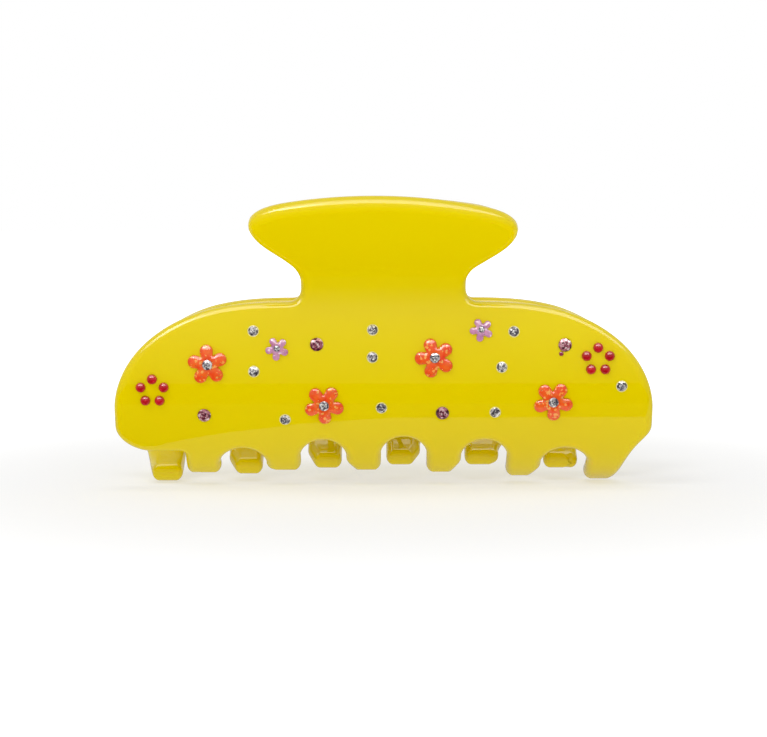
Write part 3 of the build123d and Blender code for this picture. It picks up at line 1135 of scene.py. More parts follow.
def hull(points: np.ndarray) -> np.ndarray:
    """Tight outline round points, anticlockwise.

    Args:
        points: one to a row.

    Returns:
        The points of the outline.
    """
    order = sorted(map(tuple, points.tolist()))
    sides = []
    for run in (order, order[::-1]):
        side: list[Flat] = []
        for p in run:
            while len(side) > 1 and ((side[-1][0] - side[-2][0]) * (p[1] - side[-2][1])
                                     - (side[-1][1] - side[-2][1]) * (p[0] - side[-2][0])) <= 0:
                side.pop()
            side.append(p)
        sides += side[:-1]
    return np.array(sides)


@dataclass
class Hinge:
    """Four lugs, the pin through them and the torsion spring on it."""

    boss_radius: float = 3.3
    bore_radius: float = 1.25
    weld_height: float = 8.4
    weld_reach: float = 10.4
    rim: float = 0.45
    wire: float = 1.1
    coil_radius: float = 2.35
    coil_pitch: float = 1.3
    coil_turns: int = 5
    leg_reach: float = 4.6
    spring_gap: float = 0.05
    step: float = 0.3
    outline_step: float = 0.35
    wire_sides: int = 14
    coil_steps: int = 24
    leg_steps: int = 14
    leg_start: float = 0.04

    @property
    def height(self) -> float:
        """Height of the pin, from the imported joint."""
        return frame["joints"][0]["pos_m"][2] / MM

    def lug(self, name: str, half: Half) -> bpy.types.Object:
        """Makes one lug: a boss round the pin that widens to its weld.

        Args:
            name: the CAD node that it stands for.
            half: the half that it is welded to.

        Returns:
            The piece.
        """
        low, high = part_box(name)
        thickness, middle = (high.x - low.x) / MM, (low.x + high.x) / 2 / MM
        boss = np.array(arc((0, self.height), self.boss_radius, 0, 360, self.step))
        weld = self.weld_height / 2
        foot = np.array([(self.weld_reach, self.height - weld), (self.weld_reach, self.height + weld)])
        outline = Outline().follow(hull(np.concatenate([boss, foot])).tolist())
        bore = Outline().follow(arc((0, self.height), self.bore_radius, 360, 0, 0.25))
        loops = [outline.walked(self.outline_step), bore.walked(self.step)]
        blank = Blank.cut(loops, self.rim, 2 * self.step)
        _, out = blank.rounding(self.rim)
        off = thickness / 2 - self.rim * (1 - out)
        x = middle if half is Half.FRONT else -middle
        sides = [np.stack([x - side * off, -blank.points[:, 0], blank.points[:, 1]], 1) for side in (1, -1)]
        points = np.concatenate(sides)
        points = points if half is Half.FRONT else half_turn(points)
        piece = make_piece(f"{name}_rounded", points, blank.skin(), YELLOW)
        log_piece(piece, half, Slot.ACETATE, name)
        return piece

    def wire_path(self) -> np.ndarray:
        """Middle of the spring's wire, from the front handle round the pin to the rear handle."""
        handle = radians(PROFILE.handle)
        out, up = cos(handle), sin(handle)
        neck = PROFILE.centres[2]
        face = PROFILE.arc_point(neck, -PROFILE.neck_radius - PROFILE.sheet / 2, PROFILE.handle)
        off = self.wire / 2 + self.spring_gap
        front = face[0] - up * self.leg_reach - out * off
        rise = face[1] + out * self.leg_reach - up * off - self.height
        span = hypot(front, rise)
        aim = pi - atan2(rise, front) - asin(self.coil_radius / span)
        start, whole = aim + pi / 2, 2 * pi * self.coil_turns
        turn = np.linspace(start, whole + 2.5 * pi - aim, self.coil_steps * self.coil_turns + 16)
        width = self.coil_pitch * (turn[-1] - start) / (2 * pi)
        x = (turn - start) / (turn[-1] - start) * width - width / 2
        y, z = self.coil_radius * np.cos(turn), self.height + self.coil_radius * np.sin(turn)
        coil = np.stack([x, y, z], 1)
        leg = (span ** 2 - self.coil_radius ** 2) ** 0.5
        share = np.linspace(1, self.leg_start, self.leg_steps)[:, None]
        first, last = coil[0] - coil[1], coil[-1] - coil[-2]
        legs = [coil[0] + share * leg * first / np.linalg.norm(first),
                coil[-1] + share[::-1] * leg * last / np.linalg.norm(last)]
        return np.concatenate([legs[0], coil, legs[1]])

    def spring(self, name: str) -> bpy.types.Object:
        """Makes the spring, which twists between the two halves.

        Args:
            name: the CAD node that it stands for.

        Returns:
            The piece.
        """
        curve = bpy.data.curves.new(name, "CURVE")
        curve.dimensions = "3D"
        path = self.wire_path() * MM
        line = curve.splines.new("POLY")
        line.points.add(len(path) - 1)
        line.points.foreach_set("co", np.concatenate([path, np.ones((len(path), 1))], 1).ravel())
        base = bpy.data.objects.new(name, curve)
        sizes = {"Wire Radius": self.wire / 2 * MM, "Sides": self.wire_sides}
        piece = grown(f"{name}_wound", base, wire_tree(SPRING_STEEL), sizes)
        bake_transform(piece)
        log_piece(piece, None, Slot.SPRING, name)
        return piece

    def build(self) -> None:
        """Makes the lugs and the spring, and finishes the pin."""
        for name in sorted(frame["nodes"]):
            if "_lug_" in name:
                self.lug(name, Half.FRONT if name.startswith("front") else Half.REAR)
        self.spring("torsion_spring")
        pin = frame["nodes"]["hinge_pin"]
        pin.data.materials.clear()
        pin.data.materials.append(PIN_STEEL.material)
        log_piece(pin, None, Slot.PIN)


# ------------------------------------------------------- what repeats, by rule


def geometry_tree(name: str, inputs: dict[str, tuple[str, Any]]) -> tuple[Graph, dict[str, Signal], Signal]:
    """Starts a geometry tree with named inputs.

    Args:
        name: the tree's name.
        inputs: each input's socket type and starting value, by name.

    Returns:
        The graph, its inputs by name, and the geometry that it is given.
    """
    tree = bpy.data.node_groups.new(name, "GeometryNodeTree")
    tree.interface.new_socket("Geometry", in_out="INPUT", socket_type="NodeSocketGeometry")
    for label, (kind, value) in inputs.items():
        socket = tree.interface.new_socket(label, in_out="INPUT", socket_type=kind)
        if value is not None:
            socket.default_value = value
    tree.interface.new_socket("Geometry", in_out="OUTPUT", socket_type="NodeSocketGeometry")
    given = tree.nodes.new("NodeGroupInput")
    graph = Graph(tree)
    signals = {label: Signal(graph, given.outputs[label]) for label in inputs}
    return graph, signals, Signal(graph, given.outputs["Geometry"])


def finish_tree(graph: Graph, shape: Signal, finish: Finish, seed: int = 0) -> bpy.types.NodeTree:
    """Ends a geometry tree: makes its instances real, numbers the facets and sets the finish.

    Args:
        graph: the tree's graph.
        shape: the geometry so far.
        finish: what it is finished in.
        seed: seed of the facets' numbers.

    Returns:
        The tree.
    """
    real = graph.add("GeometryNodeRealizeInstances", values={"Geometry": shape})
    tone = graph.add("FunctionNodeRandomValue", {"data_type": "FLOAT"}, {"Seed": seed}, out=1)
    marked = graph.add("GeometryNodeStoreNamedAttribute", {"data_type": "FLOAT", "domain": "FACE"},
                       {"Geometry": real, "Name": "facet", "Value": tone})
    dressed = graph.add("GeometryNodeSetMaterial", values={"Geometry": marked, "Material": finish.material})
    end = graph.tree.nodes.new("NodeGroupOutput")
    graph.feed(end.inputs["Geometry"], dressed)
    return graph.tree


def wire_tree(finish: Finish) -> bpy.types.NodeTree:
    """Tree that gives a curve the thickness of a round wire.

    Args:
        finish: the wire's finish.

    Returns:
        The tree.
    """
    graph, given, shape = geometry_tree("round_wire", {"Wire Radius": ("NodeSocketFloat", 0.0005),
                                                       "Sides": ("NodeSocketInt", 12)})
    ring = graph.add("GeometryNodeCurvePrimitiveCircle",
                     values={"Resolution": given["Sides"], "Radius": given["Wire Radius"]})
    wire = graph.add("GeometryNodeCurveToMesh",
                     values={"Curve": shape, "Profile Curve": ring, "Fill Caps": True})
    return finish_tree(graph, wire, finish)


def setting_tree(finish: Finish, seed: int) -> bpy.types.NodeTree:
    """Tree that sets a copy of one stone, cabochon or ring at every point, turned as the point says.

    Args:
        finish: the finish of what is set.
        seed: seed of the facets' numbers.

    Returns:
        The tree.
    """
    graph, given, points = geometry_tree("setting", {"Pattern": ("NodeSocketObject", None),
                                                     "Size": ("NodeSocketFloat", 1.0)})
    pattern = graph.add("GeometryNodeObjectInfo", values={"Object": given["Pattern"]}, out="Geometry")
    turn = graph.add("GeometryNodeInputNamedAttribute", {"data_type": "FLOAT_VECTOR"}, {"Name": "turn"})
    copies = graph.add("GeometryNodeInstanceOnPoints",
                       values={"Points": points, "Instance": pattern, "Rotation": turn,
                               "Scale": given["Size"]})
    return finish_tree(graph, copies, finish, seed)


def glitter_tree(finish: Finish) -> bpy.types.NodeTree:
    """Tree that strews six-sided flakes over a surface, nearly flush with it.

    Args:
        finish: the flakes' finish.

    Returns:
        The tree.
    """
    graph, given, surface = geometry_tree("glitter", {
        "Per Square Metre": ("NodeSocketFloat", 1e5), "Flake Radius": ("NodeSocketFloat", 0.0001),
        "Flake Thickness": ("NodeSocketFloat", 0.00003), "Seed": ("NodeSocketInt", 1)})
    scattered = graph.add("GeometryNodeDistributePointsOnFaces", {"distribute_method": "RANDOM"},
                          {"Mesh": surface, "Density": given["Per Square Metre"], "Seed": given["Seed"]})
    facing = Signal(graph, scattered.socket.node.outputs["Rotation"])
    flake = graph.add("GeometryNodeMeshCylinder", {"fill_type": "NGON"},
                      {"Vertices": 6, "Radius": given["Flake Radius"], "Depth": given["Flake Thickness"]})
    size = graph.add("FunctionNodeRandomValue", {"data_type": "FLOAT"},
                     {2: 0.45, 3: 1.0, "Seed": given["Seed"]}, out=1)
    copies = graph.add("GeometryNodeInstanceOnPoints",
                       values={"Points": scattered, "Instance": flake, "Rotation": facing, "Scale": size})
    return finish_tree(graph, copies, finish, 5)


def grown(name: str, base: bpy.types.Object, tree: bpy.types.NodeTree,
          values: dict[str, Any]) -> bpy.types.Object:
    """Runs a tree on an object and keeps the result as a plain mesh.

    Args:
        name: the new piece's name.
        base: what the tree is given; it is removed afterwards.
        tree: the tree.
        values: what its named inputs take.

    Returns:
        The piece.
    """
    if base.name not in bpy.context.scene.collection.objects:
        bpy.context.scene.collection.objects.link(base)
    grow = base.modifiers.new("grow", "NODES")
    grow.node_group = tree
    keys = {item.name: item.identifier for item in tree.interface.items_tree if item.in_out == "INPUT"}
    for label, value in values.items():
        grow[keys[label]] = value
    base.update_tag()
    bpy.context.view_layer.update()
    whole = base.evaluated_get(bpy.context.evaluated_depsgraph_get())
    mesh = bpy.data.meshes.new_from_object(whole)
    mesh.name = name
    bpy.data.objects.remove(base)
    piece = bpy.data.objects.new(name, mesh)
    bpy.context.scene.collection.objects.link(piece)
    return piece


# ------------------------------------------------------------- the decorations


@dataclass(frozen=True)
class Spot:
    """A place on the belly's outer face: across the clip, and its tilt in degrees."""

    x: float
    tilt: float

    @classmethod
    def of(cls, node: str) -> "Spot":
        """The spot that a CAD decoration sits on, read from its box."""
        low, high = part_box(node)
        middle = (low + high) / 2 / MM
        body = PROFILE.centres[0]
        return cls(middle.x, degrees(atan2(middle.z - body[1], -middle.y - body[0])))

    @property
    def out(self) -> Vector:
        """Direction square to the face."""
        return Vector((0.0, -cos(radians(self.tilt)), sin(radians(self.tilt))))

    def at(self, off: float) -> Vector:
        """Point at a height above the face."""
        body = PROFILE.centres[0]
        front, height = PROFILE.arc_point(body, PROFILE.outer_radius + off, self.tilt)
        return Vector((self.x, -front, height))

    def wrap(self, flat: np.ndarray, off: np.ndarray) -> np.ndarray:
        """Wraps flat points round the spot on to the belly.

        Args:
            flat: (across, up) from the spot, one to a row.
            off: height of each above the face.

        Returns:
            The points.
        """
        body = PROFILE.centres[0]
        tilt = radians(self.tilt) + flat[:, 1] / PROFILE.outer_radius
        radius = PROFILE.outer_radius + off
        return np.stack([self.x + flat[:, 0], -body[0] - radius * np.cos(tilt),
                         body[1] + radius * np.sin(tilt)], 1)

    def turn(self, spin: float) -> Vector:
        """Rotation, as Euler angles, that stands a pattern on the face and spins it by degrees."""
        upright = Matrix.Rotation(radians(90 - self.tilt), 3, "X")
        return Vector((upright @ Matrix.Rotation(radians(spin), 3, "Z")).to_euler())


def set_out(spots: Sequence[Spot], lift: float, spins: Sequence[float]) -> bpy.types.Object:
    """Makes the points that patterns are set on.

    Args:
        spots: where they are.
        lift: height above the face.
        spins: how far each is turned about its own axis, in degrees.

    Returns:
        A mesh object of loose points, each with its turn.
    """
    mesh = bpy.data.meshes.new("set_out")
    mesh.from_pydata([spot.at(lift) * MM for spot in spots], [], [])
    turns = mesh.attributes.new("turn", "FLOAT_VECTOR", "POINT")
    turns.data.foreach_set("vector", [part for spot, spin in zip(spots, spins) for part in spot.turn(spin)])
    return bpy.data.objects.new("set_out", mesh)


def turned_profile(name: str, profile: Sequence[Flat], sides: int, finish: Finish,
                   smooth: bool = True) -> bpy.types.Object:
    """Turns a profile round the Z axis into a closed body of unit size.

    Args:
        name: its name.
        profile: (radius, height) from the bottom up; a radius of 0 at either end closes it.
        sides: how many sides it has.
        finish: its finish.
        smooth: whether it is shaded smooth.

    Returns:
        The body.
    """
    points, rings = [], []
    for radius, height in profile:
        count = 1 if radius == 0 else sides
        rings.append(range(len(points), len(points) + count))
        points += [(radius * cos(2 * pi * k / sides), radius * sin(2 * pi * k / sides), height)
                   for k in range(count)]
    faces = []
    closed = profile[0][0] != 0
    for lower, upper in zip(rings, list(rings[1:]) + ([rings[0]] if closed else [])):
        for k in range(sides):
            a, b = lower[k % len(lower)], lower[(k + 1) % len(lower)]
            c, d = upper[(k + 1) % len(upper)], upper[k % len(upper)]
            faces.append([p for p in dict.fromkeys((a, b, c, d))])
    return make_piece(name, np.array(points), faces, finish, smooth)


@dataclass(frozen=True)
class StoneCut:
    """A round stone cut with a table, stars, kites and a pointed back, for a diameter of 1."""

    table: float = 0.3
    crown: float = 0.16
    kite: float = 0.41
    kite_height: float = 0.095
    rim: float = 0.03
    depth: float = 0.4
    mains: int = 8

    def pattern(self, finish: Finish) -> bpy.types.Object:
        """Makes the stone.

        Args:
            finish: its finish.

        Returns:
            The stone, a millimetre across, with its girdle at the origin.
        """
        n, step = self.mains, pi / self.mains

        def ring(radius: float, height: float, count: int, shift: float) -> list[Place]:
            """Points round the stone."""
            turn = [2 * pi * k / count + shift for k in range(count)]
            return [(radius * cos(t), radius * sin(t), height) for t in turn]

        points = ring(self.table, self.crown, n, 0) + ring(self.kite, self.kite_height, n, step)
        points += ring(0.5, self.rim, 2 * n, 0) + ring(0.5, -self.rim, 2 * n, 0) + [(0, 0, -self.depth)]
        points += ring(self.table * 0.5, self.crown, n, step) + [(0, 0, self.crown)]
        faces: list[list[int]] = []
        upper, lower, point = 2 * n, 4 * n, 6 * n
        for k in range(n):
            after, before = (k + 1) % n, (k - 1) % n
            within, middle = point + 1 + k, point + 1 + n
            faces.append([k, after, within])
            faces.append([k, within, point + 1 + before])
            faces.append([within, middle, point + 1 + before])
            faces.append([k, n + k, after])
            faces.append([k, n + before, upper + 2 * k, n + k])
            faces.append([n + k, upper + 2 * k, upper + 2 * k + 1])
            faces.append([n + k, upper + 2 * k + 1, upper + (2 * k + 2) % (2 * n)])
        for k in range(2 * n):
            after = (k + 1) % (2 * n)
            faces.append([lower + k, lower + after, upper + after, upper + k])
            faces.append([lower + after, lower + k, point])
        return make_piece("stone_pattern", np.array(points), faces, finish, smooth=False)


@dataclass(frozen=True)
class FlowerKind:
    """Sizes of one kind of resin flower."""

    name: str
    finish: Finish
    slot: Slot
    turns: tuple[float, ...]
    reach: float
    petal: float
    height: float
    stone: float
    flakes: float
    petals: int = 5
    middle: float = 0.78
    waist: float = 1.2
    dome: float = 0.45
    wall: float = 0.25
    rim_share: float = 0.92
    step_share: float = 0.2
    socket_share: float = 0.35
    under: float = 0.04
    points: int = 160

    def radius(self, angle: np.ndarray) -> np.ndarray:
        """How far the outline is from the middle at angles from a petal's axis.

        Args:
            angle: in radians.

        Returns:
            The radius at each angle.
        """
        share = 2 * pi / self.petals
        off = np.abs((angle + share / 2) % share - share / 2)
        across = self.reach * np.sin(off)
        round_end = self.reach * np.cos(off) + np.sqrt(np.maximum(self.petal ** 2 - across ** 2, 0))
        arm = self.petal * self.waist / 2
        straight = np.minimum(arm / np.maximum(np.sin(off), 1e-6), self.reach / np.cos(off))
        return np.maximum(np.where(across < self.petal, round_end, 0),
                          np.maximum(straight, self.reach * self.middle))

    def outline(self, turn: float) -> np.ndarray:
        """The flower's outline.

        Args:
            turn: angle of the first petal, in degrees.

        Returns:
            Its points, anticlockwise.
        """
        angle = np.arange(self.points) * 2 * pi / self.points
        radius = self.radius(angle - radians(turn))
        soft = sum(np.roll(radius, k) for k in (-2, -1, 0, 1, 2)) / 5
        return np.stack([soft * np.cos(angle), soft * np.sin(angle)], 1)

    def build(self, number: int, turn: float) -> bpy.types.Object:
        """Makes one flower on the belly.

        Args:
            number: which of its kind it is.
            turn: angle of its first petal, in degrees.

        Returns:
            The piece.
        """
        node = f"{self.name}_{number}"
        spot = Spot.of(f"{self.name}_gem_{number}")
        rim = self.rim_share * self.petal
        blank = Blank.cut([self.outline(turn)], rim, self.step_share * self.petal)
        _, out = blank.rounding(rim)
        far = np.hypot(*blank.points.T) / (self.reach + self.petal)
        top = self.wall + (self.height - self.wall) * out - self.dome * far ** 2 * out
        seat = np.clip(1.25 - np.hypot(*blank.points.T) / (self.stone / 2), 0, 1)
        top -= self.socket_share * self.height * np.minimum(1, 4 * seat)
        under = np.full(len(top), -self.under)
        points = np.concatenate([spot.wrap(blank.points, top), spot.wrap(blank.points, under)])
        piece = make_piece(f"{node}_cast", points, blank.skin(), self.finish)
        log_piece(piece, Half.FRONT, self.slot, node)
        return piece


ORANGE_FLOWER = FlowerKind("orange_flower", ORANGE, Slot.ORANGE, (95, -87, 109.5, -87),
                           2.68, 1.34, 1.1, 2.0, 0.9)
LILAC_FLOWER = FlowerKind("lilac_flower", LILAC, Slot.LILAC, (-96, -101), 1.63, 0.72, 0.8, 1.2, 1.2)


@dataclass
class Decorations:
    """Flowers, stones and cabochons on the front jaw."""

    bead: float = 2.05
    bead_height: float = 0.47
    clear: float = 2.05
    pink: float = 2.65
    seat_gap: float = 0.03
    flake: float = 0.11
    flake_thickness: float = 0.03
    ring_sides: int = 28
    cement: tuple[Flat, ...] = ((0.42, -0.12), (0.575, -0.02), (0.565, 0.012), (0.535, 0.032), (0.505, 0.036),
                                (0.47, 0.02))
    drop_profile: tuple[Flat, ...] = ((0.0, -0.05), (0.5, -0.05), (0.48, 0.12), (0.38, 0.27), (0.2, 0.37),
                                      (0.0, 0.4))
    drop_sides: int = 20
    drop_offset: Flat = (-0.75, -1.75)
    drop_size: float = 0.95
    gem_sink: float = 0.06
    cut: StoneCut = StoneCut()

    @staticmethod
    def nodes(prefix: str) -> list[str]:
        """CAD nodes whose names are a prefix and a number."""
        found = [n for n in frame["nodes"] if n.startswith(prefix) and n[len(prefix):].isdigit()]
        return sorted(found, key=lambda n: int(n[len(prefix):]))

    def seats(self) -> list[Seat]:
        """Seats of the stones that are set in the sheet itself."""
        found = []
        for prefix, size in (("clear_gem_", self.clear), ("pink_gem_", self.pink)):
            for node in self.nodes(prefix):
                spot = Spot.of(node)
                found.append(Seat(spot.x, PROFILE.up_sheet(spot.tilt), size / 2 + self.seat_gap,
                                  PROFILE.body_radius / PROFILE.outer_radius))
        return found

    def stones(self, prefix: str, size: float, lift: float, finish: Finish, slot: Slot, seed: int) -> None:
        """Sets every stone of one kind.

        Args:
            prefix: how its CAD nodes' names start.
            size: its diameter.
            lift: height of its girdle above the face.
            finish: its finish.
            slot: its material slot.
            seed: seed of its facets' numbers and of how the stones are turned.
        """
        nodes = self.nodes(prefix)
        spots = [Spot.of(node) for node in nodes]
        spins = np.random.default_rng(seed).uniform(0, 45, len(spots))
        pattern = self.cut.pattern(finish)
        piece = grown(f"{prefix}stones", set_out(spots, lift, spins.tolist()), setting_tree(finish, seed),
                      {"Pattern": pattern, "Size": size})
        bpy.data.objects.remove(pattern)
        log_piece(piece, Half.FRONT, slot, *nodes)

    def cement_rings(self, prefix: str, size: float, lift: float) -> None:
        """Leaves a low ring of cement round every stone of one kind.

        Args:
            prefix: how its CAD nodes' names start.
            size: its diameter.
            lift: height of the ring above the face.
        """
        spots = [Spot.of(node) for node in self.nodes(prefix)]
        pattern = turned_profile("ring_pattern", self.cement, self.ring_sides, CEMENT)
        piece = grown(f"{prefix}cement", set_out(spots, lift, [0.0] * len(spots)), setting_tree(CEMENT, 3),
                      {"Pattern": pattern, "Size": size})
        bpy.data.objects.remove(pattern)
        log_piece(piece, Half.FRONT, None)

    def beads(self, side: str) -> None:
        """Sets one ring of red cabochons.

        Args:
            side: left or right.
        """
        nodes = self.nodes(f"red_bead_{side}_")
        spots = [Spot.of(node) for node in nodes]
        tilts = [radians(t) for t in range(0, 91, 9)]
        dome = [(0.0, -0.03), (0.44, -0.03), (0.5, 0.0)]
        dome += [(0.5 * cos(t), self.bead_height * sin(t)) for t in tilts[1:-1]] + [(0.0, self.bead_height)]
        pattern = turned_profile("bead_pattern", dome, self.ring_sides, RED)
        piece = grown(f"red_beads_{side}", set_out(spots, 0.0, [0.0] * len(spots)), setting_tree(RED, 2),
                      {"Pattern": pattern, "Size": self.bead})
        bpy.data.objects.remove(pattern)
        log_piece(piece, Half.FRONT, Slot.RED, *nodes)

    def drop(self) -> None:
        """Leaves the small drop of pink resin beside the last pink stone."""
        stone = Spot.of(self.nodes("pink_gem_")[-1])
        across, below = self.drop_offset
        spot = Spot(stone.x + across, stone.tilt + degrees(below / PROFILE.outer_radius))
        pattern = turned_profile("drop_pattern", self.drop_profile, self.drop_sides, PINK_CAST)
        piece = grown("pink_resin_drop", set_out([spot], 0.0, [0.0]), setting_tree(PINK_CAST, 4),
                      {"Pattern": pattern, "Size": self.drop_size})
        bpy.data.objects.remove(pattern)
        log_piece(piece, Half.FRONT, None)

    def glitter(self, flower: bpy.types.Object, kind: FlowerKind, seed: int) -> None:
        """Strews glitter over one flower.

        Args:
            flower: the flower.
            kind: its kind.
            seed: where the flakes fall.
        """
        name = flower.name.replace("_cast", "_glitter")
        base = bpy.data.objects.new(name, flower.data.copy())
        values = {"Per Square Metre": kind.flakes / MM ** 2, "Flake Radius": self.flake * MM,
                  "Flake Thickness": self.flake_thickness * MM, "Seed": seed}
        piece = grown(name, base, glitter_tree(GLITTER), values)
        log_piece(piece, Half.FRONT, None)

    def flowers(self, kind: FlowerKind, seed: int) -> None:
        """Makes every flower of one kind, with its glitter and its stone.

        Args:
            kind: the kind.
            seed: seed of its stones' facets and of its glitter.
        """
        for number, turn in enumerate(kind.turns, 1):
            self.glitter(kind.build(number, turn), kind, seed + number)
        prefix = f"{kind.name}_gem_"
        lift = kind.height - self.gem_sink * kind.stone
        self.stones(prefix, kind.stone, lift, CLEAR, Slot.CLEAR, seed)

    def build(self) -> None:
        """Makes all the decorations."""
        self.flowers(ORANGE_FLOWER, 11)
        self.flowers(LILAC_FLOWER, 31)
        self.stones("clear_gem_", self.clear, 0.0, CLEAR, Slot.CLEAR, 7)
        self.stones("pink_gem_", self.pink, 0.0, PINK, Slot.PINK, 8)
        self.cement_rings("clear_gem_", self.clear, 0.0)
        self.drop()
        for side in ("left", "right"):
            self.beads(side)


# -------------------------------------------------------------------- studio


@dataclass(frozen=True)
class Lamp:
    """A soft rectangular light that faces a point above the floor."""

    name: str
    place: Place
    size: Flat
    power: float
    mirrored: bool

    def hang(self) -> None:
        """Hangs the light."""
        data = bpy.data.lights.new(self.name, "AREA")
        data.shape = "RECTANGLE"
        data.size, data.size_y = self.size
        data.energy = self.power
        lamp = bpy.data.objects.new(self.name, data)
        lamp.location = self.place
        lamp.rotation_euler = (LIGHTS_AIM - Vector(self.place)).to_track_quat("-Z", "Y").to_euler()
        lamp.visible_glossy = self.mirrored
        lamp.visible_camera = False
        bpy.context.scene.collection.objects.link(lamp)


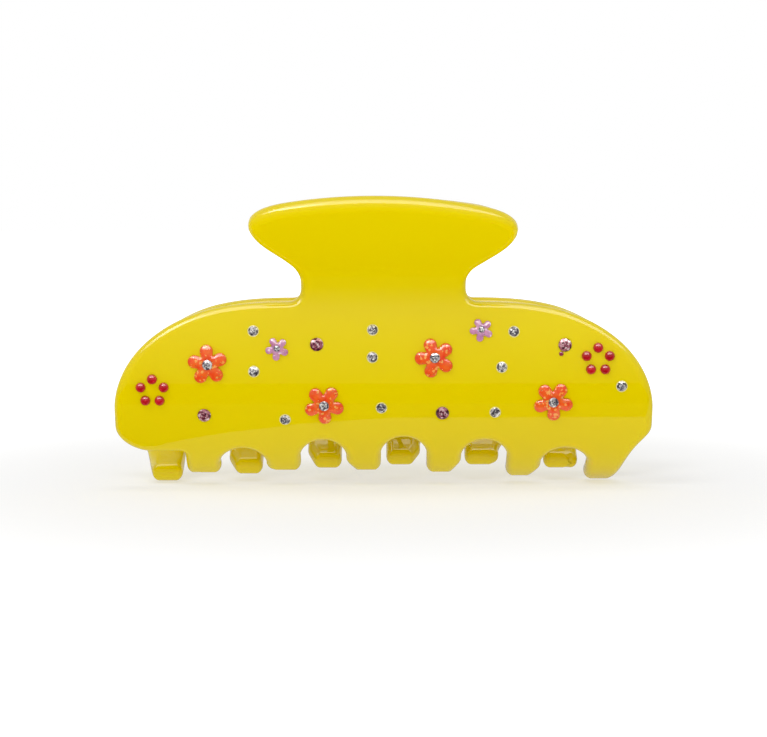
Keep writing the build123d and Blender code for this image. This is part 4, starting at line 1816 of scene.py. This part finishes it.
@dataclass
class Studio:
    """Pale floor, soft light and the camera."""

    distance: float = 0.420
    eye: float = 0.0555
    dip: float = 4.36
    roll: float = -0.1
    focal: float = 2036.0
    image_width: float = 767.0
    sensor: float = 36.0
    card: tuple[Flat, ...] = ((-0.300, -0.008), (-0.047, -0.0135), (-0.041, -0.017), (-0.031, -0.022),
                              (-0.018, -0.027), (0.002, -0.0315), (0.300, -0.0335), (0.300, 0.300),
                              (-0.300, 0.300))
    card_glow: float = 0.50
    shade: tuple[Flat, ...] = ((-0.075, -0.036), (0.075, -0.036), (0.075, -0.0175), (-0.075, -0.0175))
    shade_height: float = 0.0155
    overhead_gain: float = 7.0
    grey: tuple[Flat, ...] = ((0.0, 0.02), (0.30, 0.05), (0.44, 0.19), (0.554, 0.29), (0.66, 0.42),
                              (0.78, 0.56), (1.0, 0.62))
    backdrop: Colour = (0.85, 0.85, 0.85)
    floor_tone: Colour = (0.5, 0.5, 0.5)
    floor_reach: float = 6.0
    floor_height: float = -1e-5
    card_height: float = -2e-5
    floor_span: Flat = (0.05, 0.30)
    floor_glow: Flat = (0.50, 1.2)
    backdrop_span: Flat = (0.25, 0.75)
    overhead_span: Flat = (0.56, 0.66)
    ahead_span: Flat = (-0.10, -0.28)
    clip: Flat = (0.01, 20.0)
    matt: float = 0.9
    lamps: tuple[Lamp, ...] = (
        Lamp("key_light", (-0.45, -0.55, 0.85), (0.45, 0.30), 2.4, True),
        Lamp("front_light", (0.15, -1.10, 0.11), (1.2, 0.6), 3.8, False),
        Lamp("top_light", (0.0, -0.05, 0.80), (0.60, 0.20), 0.8, True),
    )

    def camera(self) -> None:
        """Sets the camera up level with the top of the handle, looking slightly down."""
        data = bpy.data.cameras.new("camera")
        data.sensor_width = self.sensor
        data.lens = self.focal / self.image_width * self.sensor
        data.clip_start, data.clip_end = self.clip
        camera = bpy.data.objects.new("camera", data)
        look = Matrix.Rotation(radians(90 - self.dip), 4, "X") @ Matrix.Rotation(radians(self.roll), 4, "Z")
        camera.matrix_world = Matrix.Translation((0, -self.distance, self.eye)) @ look
        bpy.context.scene.collection.objects.link(camera)
        bpy.context.scene.camera = camera

    def _glow(self, name: str, colour: Colour, strength: float, diffuse: Colour | None) -> bpy.types.Material:
        """A stage material that glows, over a matt ground where one is given."""
        material = bpy.data.materials.new(name)
        material.use_nodes = True
        shader = material.node_tree.nodes["Principled BSDF"]
        shader.inputs["Base Color"].default_value = (*(diffuse or (0, 0, 0)), 1)
        shader.inputs["Roughness"].default_value = self.matt
        shader.inputs["Specular IOR Level"].default_value = 0.0
        shader.inputs["Emission Color"].default_value = (*colour, 1)
        shader.inputs["Emission Strength"].default_value = strength
        return material

    @staticmethod
    def _rise(graph: Graph, value: Signal, span: Flat, to: Flat = (0.0, 1.0)) -> Signal:
        """A smooth rise from one level to another as a value crosses a span."""
        ends = {"From Min": span[0], "From Max": span[1], "To Min": to[0], "To Max": to[1]}
        return graph.add("ShaderNodeMapRange", {"interpolation_type": "SMOOTHSTEP"}, {"Value": value, **ends})

    def stage(self, name: str, corners: Sequence[Place], material: bpy.types.Material) -> bpy.types.Object:
        """Makes one flat piece of the stage."""
        mesh = bpy.data.meshes.new(name)
        mesh.from_pydata(corners, [], [range(len(corners))])
        mesh.materials.append(material)
        piece = bpy.data.objects.new(name, mesh)
        bpy.context.scene.collection.objects.link(piece)
        return piece

    def floor(self) -> None:
        """Lays the pale floor and the white card that the curl of the jaws mirrors."""
        corners = [(self.floor_reach * x, self.floor_reach * y, self.floor_height)
                   for x, y in ((-1, -1), (1, -1), (1, 1), (-1, 1))]
        ground = self._glow("pale_floor", (1, 1, 1), 0.0, self.floor_tone)
        graph = Graph(ground.node_tree)
        far = graph.add("ShaderNodeVectorMath", {"operation": "LENGTH"}, {0: graph.place()}, out="Value")
        fade = self._rise(graph, far, self.floor_span, self.floor_glow)
        graph.feed(ground.node_tree.nodes["Principled BSDF"].inputs["Emission Strength"], fade)
        self.stage("floor", corners, ground).visible_glossy = False
        for name, outline, height, glow in (("white_card", self.card, self.card_height, self.card_glow),
                                            ("dark_card", self.shade, self.shade_height, 0.0)):
            material = self._glow(name, (1, 1, 1), glow, None)
            card = self.stage(name, [(x, y, height) for x, y in outline], material)
            card.visible_camera = card.visible_diffuse = card.visible_shadow = False
            card.visible_transmission = card.visible_volume_scatter = False

    def sky(self) -> None:
        """Gives the room its light: bright above, dim below, and a backdrop that polish mirrors."""
        world = bpy.data.worlds.new("room")
        bpy.context.scene.world = world
        world.use_nodes = True
        graph = Graph(world.node_tree)
        way = graph.add("ShaderNodeTexCoord", out="Generated")
        height = graph.add("ShaderNodeSeparateXYZ", values={"Vector": way}, out="Z")
        behind = graph.add("ShaderNodeSeparateXYZ", values={"Vector": way}, out="Y")
        stops = tuple((place, (level, level, level)) for place, level in self.grey)
        shade = graph.add("ShaderNodeValToRGB", {"stops": stops}, {"Fac": height * 0.5 + 0.5})
        seen = graph.add("ShaderNodeLightPath", out="Is Camera Ray")
        mirrored = graph.add("ShaderNodeLightPath", out="Is Glossy Ray")
        backdrop = self._rise(graph, behind, self.backdrop_span)
        room = graph.blend_colours(mirrored * backdrop, shade, self.backdrop)
        colour = graph.blend_colours(seen, room, (1.0, 1.0, 1.0))
        overhead = self._rise(graph, height, self.overhead_span)
        ahead = self._rise(graph, behind, self.ahead_span)
        background = world.node_tree.nodes["Background"]
        graph.feed(background.inputs["Color"], colour)
        graph.feed(background.inputs["Strength"], mirrored * overhead * ahead * self.overhead_gain + 1.0)

    def build(self) -> None:
        """Sets up the studio."""
        self.sky()
        self.floor()
        for lamp in self.lamps:
            lamp.hang()
        self.camera()
        bpy.context.scene.view_settings.view_transform = "Standard"
        bpy.context.scene.view_settings.look = "None"


def main() -> None:
    """Builds the clip, piece by piece, and the studio round it."""
    logging.basicConfig(level=logging.INFO, format="%(name)s: %(message)s")
    decorations = Decorations()
    Jaw(Half.FRONT).build("front_jaw", decorations.seats())
    Jaw(Half.REAR).build("rear_jaw")
    Hinge().build()
    decorations.build()
    Studio().build()


if __name__ == "__main__":
    main()
